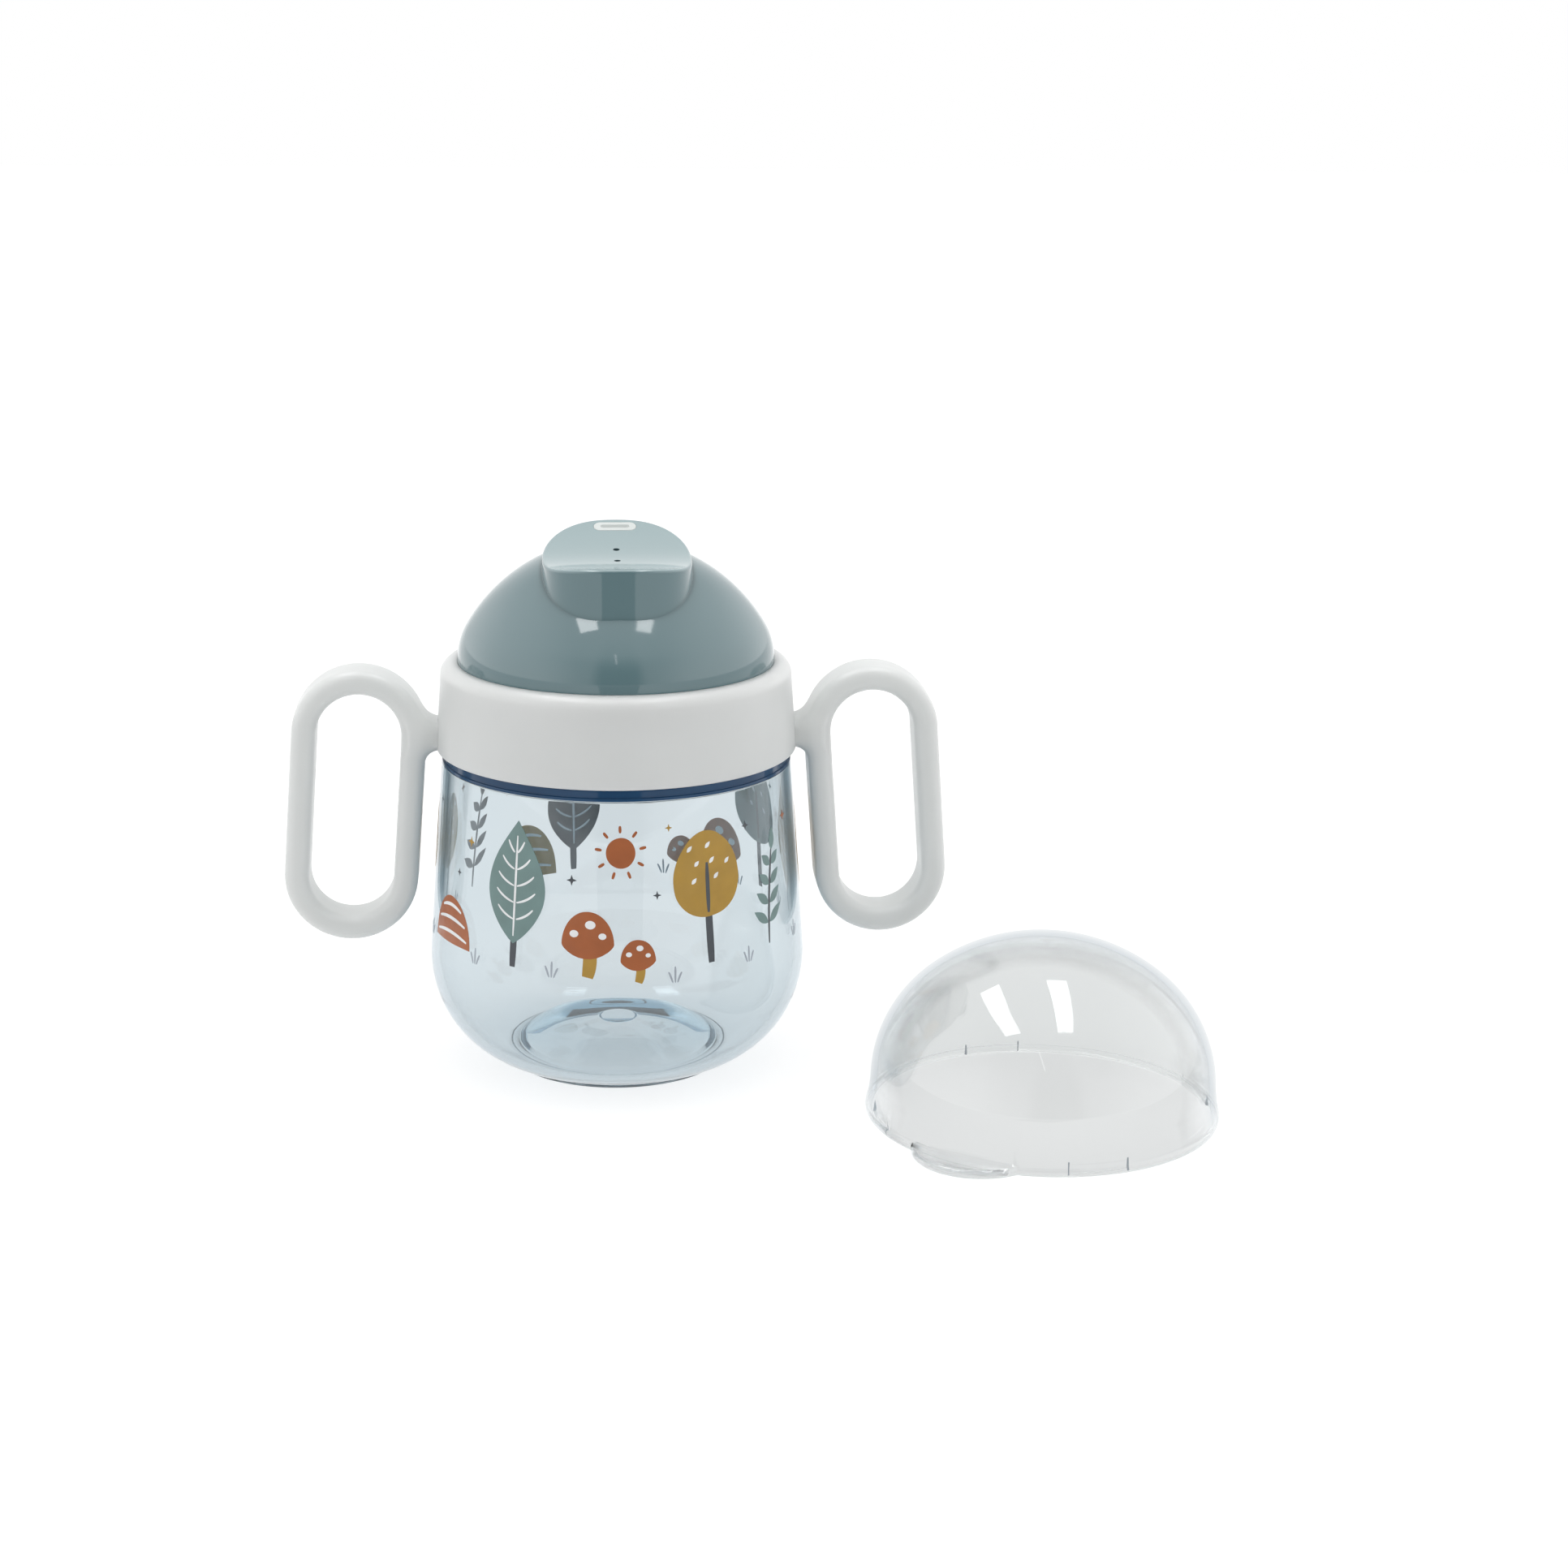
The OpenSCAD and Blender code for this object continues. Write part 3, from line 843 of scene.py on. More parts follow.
# Even points round the spout, seen from above, and the way out at each
def spoutOutline(columns):
    fineSteps = 4000
    t = np.linspace(0, 2 * math.pi, fineSteps + 1)
    power = 2 / lidValues["square"]
    x = lidValues["spoutW"] / 2 * np.sign(np.cos(t)) * np.abs(np.cos(t)) ** power
    y = lidValues["spoutL"] / 2 * np.sign(np.sin(t)) * np.abs(np.sin(t)) ** power
    walk = np.r_[0, np.cumsum(np.hypot(np.diff(x), np.diff(y)))]
    even = np.linspace(0, walk[-1], columns, endpoint=False)
    edge = np.stack([np.interp(even, walk, x), np.interp(even, walk, y)], 1)
    along = np.roll(edge, -1, 0) - np.roll(edge, 1, 0)
    out = np.stack([along[:, 1], -along[:, 0]], 1)
    out /= np.linalg.norm(out, axis=1)[:, None]
    return edge - (0, lidValues["spoutFore"]), out


# Slot with round ends, centred on the drinking window
def slotOutline(length, width, steps=14):
    half = (length - width) / 2
    right = arcPoints((half, windowY), width / 2, -90, 90, steps)
    left = arcPoints((-half, windowY), width / 2, 90, 270, steps)
    return np.array(right + left)


def circleOutline(y, radius, steps=24):
    return np.array(arcPoints((0, y), radius, 0, 360, steps)[:-1])


def raised(outline, height):
    return np.column_stack([outline, height])


def lidTopRows(edge, out):
    s = lidValues
    rowsOut = []
    y = edge[:, 1]
    slope = (y + s["scoopFore"]) / (scoopAxisZ - scoopZ(y)) * out[:, 1]
    rimR = s["rimRound"]
    rimZ = scoopZ(y) - slope * rimR - rimR * np.sqrt(1 + slope ** 2)
    topAngle = math.pi / 2 + np.arctan(slope)
    for k in range(s["rowsRim"] + 1):        # the rounded rim of the scoop
        a = topAngle * (1 - k / s["rowsRim"])
        place = edge + out * (rimR * np.cos(a) - rimR)[:, None]
        rowsOut.append(raised(place, rimZ + rimR * np.sin(a)))
    return rowsOut, rimZ


def lidOuterRows(edge, out):
    s = lidValues
    radius, height, length = domeWalk(domeR, s["sideR"], s["domeH"], domeZ, 0)
    rowsOut, rimZ = lidTopRows(edge, out)
    draft = math.tan(math.radians(s["draft"]))

    def onDome(offset):
        return np.interp(np.linalg.norm(edge + out * offset[:, None], axis=1), radius, height)

    offset = np.zeros(len(edge))
    for _ in range(6):        # settles where the slanted wall meets the dome
        offset = draft * (rimZ - onDome(offset))
    fillet = s["footFillet"]
    reach = 0.2
    fall = (onDome(offset + reach) - onDome(offset - reach)) / (2 * reach)
    centre = offset + fillet
    centreZ = onDome(offset) + fall * fillet + fillet * np.sqrt(1 + fall ** 2)
    for k in range(1, s["rowsWall"]):        # the spout's wall
        part = k / s["rowsWall"]
        z = rimZ + (centreZ - rimZ) * part
        rowsOut.append(raised(edge + out * (offset * part)[:, None], z))
    turn = np.arctan2(1, -fall)
    for k in range(s["rowsFillet"] + 1):        # the fillet at its foot
        a = math.pi + turn * k / s["rowsFillet"]
        place = edge + out * (centre + fillet * np.cos(a))[:, None]
        rowsOut.append(raised(place, centreZ + fillet * np.sin(a)))
    foot = rowsOut[-1]
    footR = np.hypot(foot[:, 0], foot[:, 1])
    angle = np.arctan2(foot[:, 1], foot[:, 0])
    start = np.interp(footR, radius, length)
    for k in range(1, s["rowsDome"] + 1):        # the dome, down to the collar
        walk = start + (length[-1] - start) * k / s["rowsDome"]
        r = np.interp(walk, length, radius)
        z = np.interp(walk, length, height)
        rowsOut.append(ringPoints(r, angle, z))
    return rowsOut, angle


def lidRimRows(angle):
    s = lidValues
    flangeR = collarInR - s["clear"]
    skirtZ = flangeZ - s["skirtH"]
    footZ = domeZ - s["domeFoot"]
    outline = roundedOutline(
        [
            (domeR, footZ),
            (domeR, flangeTopZ, s["flangeRound"]),
            (flangeR, flangeTopZ, s["flangeRound"]),
            (flangeR, flangeZ, s["flangeRound"]),
            (skirtR, flangeZ, s["flangeRound"]),
            (skirtR, skirtZ, s["skirtRound"]),
            (skirtR - s["wall"], skirtZ, s["skirtRound"]),
            (skirtR - s["wall"], flangeTopZ, s["hollowRound"]),
            (domeR - s["wall"], flangeTopZ, s["hollowRound"]),
            (domeR - s["wall"], footZ),
        ],
        steps=3,
    )
    return [ringPoints(r, angle, z) for r, z in outline]


def lidInnerRows(edge, out, angle):
    s = lidValues
    radius, height, length = domeWalk(domeR, s["sideR"], s["domeH"], domeZ, s["wall"])
    hollow = edge - out * s["spoutWall"]
    hollowR = np.hypot(hollow[:, 0], hollow[:, 1])
    hollowAngle = np.arctan2(hollow[:, 1], hollow[:, 0])
    swing = (hollowAngle - angle + math.pi) % (2 * math.pi) - math.pi
    end = np.interp(hollowR, radius, length)
    rowsIn = []
    for k in range(s["rowsInner"] + 1):        # up the inside of the dome
        part = k / s["rowsInner"]
        walk = length[-1] + (end - length[-1]) * part
        r = np.interp(walk, length, radius)
        z = np.interp(walk, length, height)
        rowsIn.append(ringPoints(r, angle + swing * part, z))
    low = rowsIn[-1][:, 2]
    high = scoopZ(hollow[:, 1], s["wall"])
    for k in range(1, s["rowsHollow"] + 1):        # up the inside of the spout
        rowsIn.append(raised(hollow, low + (high - low) * k / s["rowsHollow"]))
    return rowsIn


# The lid's plastic, with a painted sheen that makes the scoop's open top paler and painted shade that
# darkens tight corners and their gloss
def lidMaterial():
    material = mouldedMaterial("lid blue grey", lidValues)
    nodes, links = material.node_tree.nodes, material.node_tree.links
    shader = nodes["Principled BSDF"]
    plain = shader.inputs["Base Color"].links[0].from_socket
    place = nodes.new("ShaderNodeTexCoord")
    height = nodes.new("ShaderNodeSeparateXYZ")
    links.new(place.outputs["Object"], height.inputs[0])
    facing = nodes.new("ShaderNodeSeparateXYZ")
    links.new(place.outputs["Normal"], facing.inputs[0])
    # painted sheen: up-facing faces at the scoop's height get the paler scoop colour
    low = float(scoopZ(-lidValues["scoopFore"])) * mm
    above = rangeNode(nodes, links, height.outputs["Z"], 0, 1, low - lidValues["scoopSheenBlend"] * mm, low)
    up = rangeNode(nodes, links, facing.outputs["Z"], 0, 1, *lidValues["scoopSheenFacing"])
    onScoop = mathNode(nodes, links, "MULTIPLY", above, up)
    colour = mixColours(nodes, links, onScoop, plain, lidValues["scoop"])
    # painted shade: occlusion darkens the colour and the gloss in tight corners
    corner = nodes.new("ShaderNodeAmbientOcclusion")
    corner.only_local = True
    corner.inputs["Distance"].default_value = lidValues["cornerReach"] * mm
    levels = (lidValues["cornerPaintedShade"], 1.0, *lidValues["cornerShut"])
    paintedShade = rangeNode(nodes, links, corner.outputs["AO"], *levels)
    shaded = nodes.new("ShaderNodeVectorMath")
    shaded.operation = "SCALE"
    links.new(colour, shaded.inputs[0])
    links.new(paintedShade, shaded.inputs["Scale"])
    links.new(shaded.outputs[0], shader.inputs["Base Color"])
    links.new(mathNode(nodes, links, "MULTIPLY", paintedShade, 0.5), shader.inputs["Specular IOR Level"])
    return material


# Gives the scoop's faces the true slope of its round hollow
def smoothScoop(mesh):
    normals = [corner.vector.copy() for corner in mesh.corner_normals]
    for face in mesh.polygons:
        y, z = face.center.y / mm, face.center.z / mm
        onScoop = abs(z - scoopZ(y)) <= 2 * closeBy
        facesUp = face.normal.z >= 0.7
        if not (onScoop and facesUp):
            continue
        for corner in face.loop_indices:
            y = mesh.vertices[mesh.loops[corner].vertex_index].co.y / mm
            slope = (y + lidValues["scoopFore"]) / (scoopAxisZ - scoopZ(y))
            normals[corner] = Vector((0, -slope, 1)).normalized()
    mesh.normals_split_custom_set(normals)


def makeLid():
    s = lidValues
    edge, out = spoutOutline(s["columns"])
    outer, angle = lidOuterRows(edge, out)
    inner = lidInnerRows(edge, out, angle)
    lid = SurfaceStack()
    lid.rows(outer + lidRimRows(angle) + inner)
    window = slotOutline(s["windowL"], s["windowW"])
    grown = s["windowRound"]
    lipLoop = slotOutline(s["windowL"] + 2 * grown, s["windowW"] + 2 * grown)
    vents = [circleOutline(k * s["ventPitch"] - s["ventFore"], s["ventR"]) for k in (0, 1)]
    top, topFaces = fillOutline(outer[0][:, :2], [lipLoop, *vents], s["topSpacing"])
    topZ = scoopZ(top[:, 1])
    topZ[:s["columns"]] = outer[0][:, 2]
    lid.patch(raised(top, topZ), topFaces)
    under, underFaces = fillOutline(inner[-1][:, :2], [window, *vents], s["underSpacing"])
    underZ = scoopZ(under[:, 1], s["wall"])
    lid.patch(raised(under, underZ), underFaces)
    lip = []
    for a in quarterTurn:        # rounded lip of the window
        share = 1 - math.sin(a)
        loop = window + (lipLoop - window) * share
        lip.append(raised(loop, scoopZ(loop[:, 1]) - grown * (1 - math.cos(a))))
    lip.append(raised(window, scoopZ(window[:, 1], s["wall"])))
    lid.rows(lip)
    for vent in vents:
        lid.rows([raised(vent, scoopZ(vent[:, 1], inset)) for inset in (0, s["wall"])])
    piece = meshPiece("lid_body", lid.points, lid.faces)
    smoothScoop(piece.data)
    placePiece(piece, "lid", lidMaterial(), "lid")


makeLid()
print("lid made")


# Silicone pieces: the valve under the spout and the flat seal under the lid

siliconeValues = {
    "colour": srgb("d8dddb"),
    "shade": srgb("d1d6d4"),
    "cloudScale": 90,
    "roughness": (0.42, 0.6),
    "wearScale": 150,
    "skinScale": 1800,
    "skinStrength": 0.08,
    "skinDepth": 0.05,
    "ior": 1.42,
}
valveValues = {
    "clear": 0.1,
    "padClear": 0.01,
    "padProud": 0.05,
    "sheetT": 1.4,
    "padRound": 0.1,
    "grooveL": 5.8,
    "grooveW": 1.0,
    "grooveDepth": 0.6,
    "slitL": 5.0,
    "slitW": 0.3,
    "sheetSpacing": 1.4,
    "padSpacing": 0.35,
    "grooveSteps": 4,
    "columns": 128,
}
sealValues = {"over": 0.5, "clear": 0.15, "faceGap": 0.02, "edge": 0.3, "columns": 160}
silicone = mouldedMaterial("silicone white", siliconeValues)


def makeValve():
    s, v = lidValues, valveValues
    seat = s["wall"] + v["clear"]
    edge, out = spoutOutline(v["columns"])
    rim = edge - out * (s["spoutWall"] + v["clear"])
    padL, padW = s["windowL"] - 2 * v["padClear"], s["windowW"] - 2 * v["padClear"]
    pad = slotOutline(padL, padW)
    padTop = slotOutline(padL - 2 * v["padRound"], padW - 2 * v["padRound"])
    groove = slotOutline(v["grooveL"], v["grooveW"])
    slit = slotOutline(v["slitL"], v["slitW"])
    bottom = seat + v["sheetT"]
    valve = SurfaceStack()
    sheet, sheetFaces = fillOutline(rim, [pad], v["sheetSpacing"])
    valve.patch(raised(sheet, scoopZ(sheet[:, 1], seat)), sheetFaces)
    under, underFaces = fillOutline(rim, [slit], v["sheetSpacing"])
    valve.patch(raised(under, scoopZ(under[:, 1], bottom)), underFaces)
    valve.rows([raised(rim, scoopZ(rim[:, 1], inset)) for inset in (seat, bottom)])
    wall = [raised(pad, scoopZ(pad[:, 1], seat))]
    for a in quarterTurn:        # rounded shoulder of the pad
        loop = pad + (padTop - pad) * (1 - math.cos(a))
        drop = v["padRound"] * (1 - math.sin(a)) - v["padProud"]
        wall.append(raised(loop, scoopZ(loop[:, 1], drop)))
    valve.rows(wall)
    face, faceFaces = fillOutline(padTop, [groove], v["padSpacing"])
    valve.patch(raised(face, scoopZ(face[:, 1], -v["padProud"])), faceFaces)
    well = [raised(groove, scoopZ(groove[:, 1], -v["padProud"]))]
    for k in range(1, v["grooveSteps"] + 1):        # the groove narrows to the slit
        part = k / v["grooveSteps"]
        loop = groove + (slit - groove) * part
        drop = v["grooveDepth"] * math.sin(math.pi / 2 * part) - v["padProud"]
        well.append(raised(loop, scoopZ(loop[:, 1], drop)))
    well.append(raised(slit, scoopZ(slit[:, 1], bottom)))
    valve.rows(well)
    piece = meshPiece("valve_body", valve.points, valve.faces)
    placePiece(piece, "lid", silicone, "spout_valve")


def makeSeal():
    s = sealValues
    low, high = cupValues["rimZ"] + s["faceGap"], flangeZ - s["faceGap"]
    outline = roundedOutline(
        [
            (skirtR + s["clear"], low, s["edge"]),
            (neckR + s["over"], low, s["edge"]),
            (neckR + s["over"], high, s["edge"]),
            (skirtR + s["clear"], high, s["edge"]),
        ],
        closed=True,
    )
    points = turnedPoints(outline, evenAngles(s["columns"]))
    faces = gridFaces(len(outline), s["columns"], wrapRows=True)
    piece = meshPiece("seal_body", points.reshape(-1, 3), faces)
    placePiece(piece, "lid", silicone, "lid_seal")


makeValve()
makeSeal()
print("valve and seal made")


# Clear cap with its thumb tab and snap ribs

capValues = {
    "tint": (0.94, 0.952, 0.948),
    "ior": 1.49,
    "roughness": (0.0, 0.03),
    "wearScale": 90,
    "waveScale": 60,
    "waveStrength": 0.06,
    "waveDepth": 0.4,
    "shadow": (0.937, 0.942, 0.942),
    "depthColour": (0.54, 0.60, 0.65),
    "depthDensity": 36,
    "caughtAfter": 5.5,
    "edgePlain": 1.0,
    "edgeFade": (0.4, 0.75),
    # painted shade: a darker tint for the ribs' slanted ends
    "ribEndPaintedShade": {"shadow": (0.42, 0.46, 0.5), "edgeFade": (0.0, 0.05)},
    # shape
    "wall": 1.3,
    "set": 0.3,
    "head": 7.2,
    "band": 6.0,
    "spread": 0.75,
    "sideR": 27.0,
    "bead": 0.12,
    "tabOut": 5.7,
    "tabR": 12.3,
    "tabT": 1.8,
    "tabAngle": -126,
    "tabBlend": 0.4,
    "tabSteps": 10,
    "rimEdge": 0.35,
    "rimSoft": 0.1,
    "ribs": 4,
    "ribH": 2.2,
    "ribIn": 0.5,
    "ribAngle": 20,
    "ribEnd": 0.5,
    "ribZ": 0.4,
    "ribLift": 0.6,
    "ribNear": 0.1,
    "gateR": 1.1,
    "gateH": 0.06,
    "gateEdge": (0.15, 0.03),
    "gateFoot": (0.1, 0.02),
    "gateClear": 0.5,
    "steps": 34,
    "columns": 360,
}
capR = collarTopR - capValues["set"]
ridgeZ = float(scoopZ(lidValues["spoutL"] / 2 - lidValues["spoutFore"]))
capH = ridgeZ - collarTopZ + capValues["head"] + capValues["wall"]
capCentre = (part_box("cap")[1].x / mm - capR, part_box("cap")[1].y / mm - capR)
ribTopZ = capValues["ribZ"] + capValues["ribH"]
ribPitch = 360 / capValues["ribs"]


# How far the rim reaches past the cap's side, with the thumb tab's round edge
def tabReach(angle):
    s = capValues
    off = (angle - math.radians(s["tabAngle"]) + math.pi) % (2 * math.pi) - math.pi
    middle = capR + s["tabOut"] - s["tabR"]
    inside = s["tabR"] ** 2 - (middle * np.sin(off)) ** 2
    reach = middle * np.cos(off) + np.sqrt(np.maximum(inside, 0))
    onTab = (inside > 0) & (np.cos(off) > 0)
    return np.maximum(np.where(onTab, reach, 0), capR + s["bead"]) - capR


# Degrees to the middle of the nearest rib: the first ones stand half a pitch from the tab
def offRib(degrees):
    return np.abs((degrees - capValues["tabAngle"]) % ribPitch - ribPitch / 2)


# One on a rib, nought between ribs, with a short slant at each end
def ribShare(angle):
    inside = capValues["ribAngle"] / 2 - offRib(np.degrees(angle))
    return np.clip(inside / capValues["ribEnd"] + 0.5, 0, 1)


# Even angles, and one more on each side of every rib's slanted ends
def capAngles():
    half = capValues["ribEnd"] / 2
    reach = capValues["ribAngle"] / 2
    crisp = []
    for k in range(capValues["ribs"]):
        middle = capValues["tabAngle"] + ribPitch * (k + 0.5)
        for end in (middle - reach, middle + reach):
            crisp += [end - half, end + half]
    crisp = np.radians(crisp) % (2 * math.pi)
    return np.sort(np.concatenate([evenAngles(capValues["columns"]), crisp]))


def capBandR(z):
    return capR - capValues["spread"] * z / capValues["band"]


# The band's radius, drawn in round the rim's lower edge
def capRimR(z):
    edge = capValues["rimEdge"]
    low = max(edge - z, 0)
    return capBandR(z) - edge + math.sqrt(edge ** 2 - low ** 2)


def capDome(inset):
    s = capValues
    r, z, _ = domeWalk(capR - s["spread"], s["sideR"], capH - s["band"], s["band"], inset, s["steps"])
    return r, z


# The outside down to the tab, the tab's rows, and the inside from rim to crown
def capOutlines(tabEdge):
    s = capValues
    gateTopZ = capH + s["gateH"]
    gate = [
        (0, gateTopZ),
        (s["gateR"] - s["gateEdge"][0], gateTopZ - s["gateEdge"][1]),
        (s["gateR"] + s["gateFoot"][0], capH - s["gateFoot"][1]),
    ]
    outerR, outerZ = capDome(0)
    keep = outerR > s["gateR"] + s["gateClear"]
    outer = gate + list(zip(outerR[keep], outerZ[keep]))
    blendZ = s["tabT"] + s["tabBlend"]
    tab = [(capBandR(blendZ), blendZ), *[(capRimR(z), z) for _, z in tabEdge]]
    rimInR = capR - s["wall"]
    rim = [(rimInR + s["rimEdge"], 0), (rimInR + s["rimSoft"], s["rimSoft"]), (rimInR, s["rimEdge"])]
    ribZ = (s["ribZ"], s["ribZ"] + s["ribLift"], ribTopZ)
    inner = rim + [(capBandR(z) - s["wall"], z) for z in ribZ]
    inner += list(zip(*capDome(s["wall"])))[::-1]
    return outer, tab, inner


# Painted shade on the ribs' slanted ends, which turn the light away: those faces get a darker tint
def paintRibEndShade(piece):
    s = capValues
    piece.data.materials.append(clearMaterial("cap rib end painted shade", {**s, **s["ribEndPaintedShade"]}))
    for face in piece.data.polygons:
        x, y, z = face.center / mm - Vector((*capCentre, 0))
        toEnd = abs(offRib(math.degrees(math.atan2(y, x))) - s["ribAngle"] / 2)
        inward = math.hypot(x, y) < capR - s["wall"] + s["ribNear"]
        onRib = inward and s["ribZ"] - s["ribNear"] < z < ribTopZ
        face.material_index = int(onRib and toEnd < s["ribEnd"] / 2)


def makeCap():
    s = capValues
    tabMid = s["tabT"] / 2
    tabEdge = arcPoints((0, tabMid), tabMid, 90, -90, s["tabSteps"])
    outer, tab, inner = capOutlines(tabEdge)
    outline = np.array(outer + tab + inner)
    tabFirst = len(outer) + 1
    ribFirst = len(outer) + len(tab) + 3
    edgeIn = np.full(len(outline), np.inf)        # only the tab's rows reach out
    edgeIn[tabFirst:tabFirst + len(tabEdge)] = [tabMid - reach for reach, _ in tabEdge]
    ribRow = np.zeros(len(outline))
    ribRow[ribFirst:ribFirst + 2] = 1        # only the ribs' two rows reach in

    def swell(angle, r, z):
        tabOut = np.maximum(capR + tabReach(angle) - edgeIn[:, None] - r, 0)
        return tabOut - s["ribIn"] * ribShare(angle) * ribRow[:, None]

    angles = capAngles()
    points = turnedPoints(outline, angles, swell).reshape(-1, 3) + (*capCentre, 0)
    piece = meshPiece("cap_body", points, gridFaces(len(outline), len(angles)))
    placePiece(piece, "cap", clearMaterial("cap clear", s), "cap")
    paintRibEndShade(piece)


makeCap()
print("cap made")


# Printed garden on the cup's wall

printValues = {
    "inks": {
        "teal": "6f8a88",
        "slate": "43484e",
        "mustard": "b08a35",
        "rust": "a55a2a",
        "pale": "f3f5f6",
        "mist": "a9b1bb",
    },
    "shade": 0.86,
    "cloudScale": 260,
    "roughness": (0.32, 0.5),
    "wearScale": 400,
    "skinScale": 2500,
    "skinStrength": 0.1,
    "skinDepth": 0.03,
    "ior": 1.48,
    # plates on the wall
    "lift": 0.03,
    "thick": 0.03,
    "over": 0.012,
    "spacing": 1.5,
    "frontDeg": -91.6,
    "rise": 1.4,
}
inkShapes = []


def addInk(colour, outline, layer=0):
    inkShapes.append((colour, np.asarray(outline, float), layer))


# A hand-cut look: a few slow waves along the outline
def handCut(outline, amount, seed):
    dice = np.random.default_rng(seed)
    t = evenAngles(len(outline))
    waves = sum(dice.uniform(0.3, 1) / n * np.sin(n * t + dice.uniform(0, 6.28)) for n in (3, 5, 8, 13))
    along = np.roll(outline, -1, 0) - np.roll(outline, 1, 0)
    out = np.stack([along[:, 1], -along[:, 0]], 1)
    out /= np.maximum(np.linalg.norm(out, axis=1), 1e-9)[:, None]
    return outline + out * (amount * waves)[:, None]


def egg(x, z, halfW, halfH, narrow=0.0, steps=56):
    t = evenAngles(steps)
    width = halfW * (1 - narrow * np.sin(t))
    return np.stack([x + width * np.cos(t), z + halfH * np.sin(t)], 1)


def leafOutline(base, tip, width, steps=18):
    base, tip = np.array(base, float), np.array(tip, float)
    along = tip - base
    side = np.array([-along[1], along[0]]) / np.linalg.norm(along)
    t = np.linspace(0, 1, steps + 1)
    half = width / 2 * np.sin(math.pi * t ** 0.85)
    middle = base + t[:, None] * along
    right = middle - side * half[:, None]
    left = (middle + side * half[:, None])[1:-1][::-1]
    return np.concatenate([right, left])


def strokeOutline(points, width, taper=0.55):
    points = np.array(points, float)
    t = np.linspace(0, 1, len(points))
    fine = np.linspace(0, 1, 6 * len(points))
    if len(points) > 2:
        fit = [np.polyfit(t, points[:, k], min(3, len(points) - 1)) for k in (0, 1)]
        middle = np.stack([np.polyval(f, fine) for f in fit], 1)
    else:
        middle = points[0] + fine[:, None] * (points[1] - points[0])
    along = np.gradient(middle, axis=0)
    side = np.stack([-along[:, 1], along[:, 0]], 1) / np.linalg.norm(along, axis=1)[:, None]
    half = width / 2 * (1 - (1 - taper) * np.abs(2 * fine - 1) ** 3)
    return np.concatenate([middle - side * half[:, None], (middle + side * half[:, None])[::-1]])


def leafTree(x, z, height, width, crown, seed):
    addInk("slate", strokeOutline([(x, z), (x + 0.3, z + 0.35 * height)], 1.5, 0.8))
    foot, top = z + 0.16 * height, z + height
    addInk(crown, handCut(leafOutline((x, foot), (x + 0.6, top), width, 30), 0.12, seed), 1)
    addInk("pale", strokeOutline([(x, foot + 1.5), (x + 0.5, top - 3)], 0.5), 2)
    for k in range(5):
        part = 0.2 + 0.135 * k
        at = foot + part * (top - foot)
        reach = 0.34 * width * math.sin(math.pi * (part + 0.1) ** 0.85)
        middle = x + 0.25
        for side in (-1, 1):
            start = (middle + side * 0.35, at)
            bend = (middle + side * reach * 0.6, at + 0.9)
            end = (middle + side * reach, at + 2.3)
            addInk("pale", strokeOutline([start, bend, end], 0.45), 2)


def roundTree(x, z, height, radius, crown, seed):
    addInk("slate", strokeOutline([(x, z), (x - 0.4, z + height - radius * 1.7)], 1.6, 0.8))
    stem = [(x - 0.3, z + height - radius * 2.1), (x - 0.4, z + height - radius * 0.8)]
    addInk("slate", strokeOutline(stem, 0.9), 2)
    leaves = egg(x - 0.3, z + height - radius * 1.1, radius, radius * 1.12, 0.12)
    addInk(crown, handCut(leaves, 0.22, seed), 1)
    dice = np.random.default_rng(seed)
    for k in range(7):
        turn = 2.4 * k + 0.6
        off = radius * 0.27 * math.sqrt(k + 0.4)
        spotX = x - 0.3 + off * math.cos(turn)
        spotZ = z + height - radius * 0.85 + off * math.sin(turn)
        size = dice.uniform(0.45, 0.62)
        spot = leafOutline((spotX - size, spotZ - size), (spotX + size, spotZ + size), 0.8, 8)
        addInk("pale", spot, 2)


def toadstool(x, z, height, width, seed):
    stem = [(x, z), (x + 0.5, z + 0.3 * height), (x + 0.1, z + 0.62 * height)]
    addInk("mustard", strokeOutline(stem, 0.26 * width, 0.8))
    half = width / 2
    brow = z + 0.5 * height
    over = np.linspace(0, math.pi, 26)
    under = np.linspace(math.pi, 2 * math.pi, 14)[1:-1]
    overZ = brow + 0.5 * height * np.sin(over)
    underZ = brow + height * (0.1 * np.sin(under) - 0.12 * np.sin(under) ** 2)
    hatX = x + half * np.cos(np.r_[over, under])
    hat = np.column_stack([hatX, np.r_[overZ, underZ]])
    addInk("rust", handCut(hat, 0.08, seed), 1)
    for dx, dz, r in ((-0.26, 0.16, 0.085), (0.05, 0.3, 0.1), (0.28, 0.13, 0.075)):
        addInk("pale", egg(x + dx * width, brow + dz * height, r * width, r * width * 0.8, 0, 20), 2)


def sprig(x, z, height, sway, colour):
    stem = [(x, z), (x + sway * 0.3, z + height * 0.5), (x + sway, z + height)]
    addInk("slate", strokeOutline(stem, 0.7, 0.5))
    for k in range(4):
        part = 0.22 + 0.2 * k
        foot = (x + sway * part ** 1.5, z + height * part)
        for side in (-1, 1):
            reach = (4.6 - 0.55 * k) * side
            tip = (foot[0] + reach, foot[1] + 3.0 - 0.2 * k)
            addInk(colour, leafOutline((foot[0] + side * 0.3, foot[1]), tip, 1.9, 10), 1)
    top = (x + sway * 1.2, z + height + 4)
    addInk(colour, leafOutline((x + sway, z + height * 0.97), top, 2.0, 10), 1)


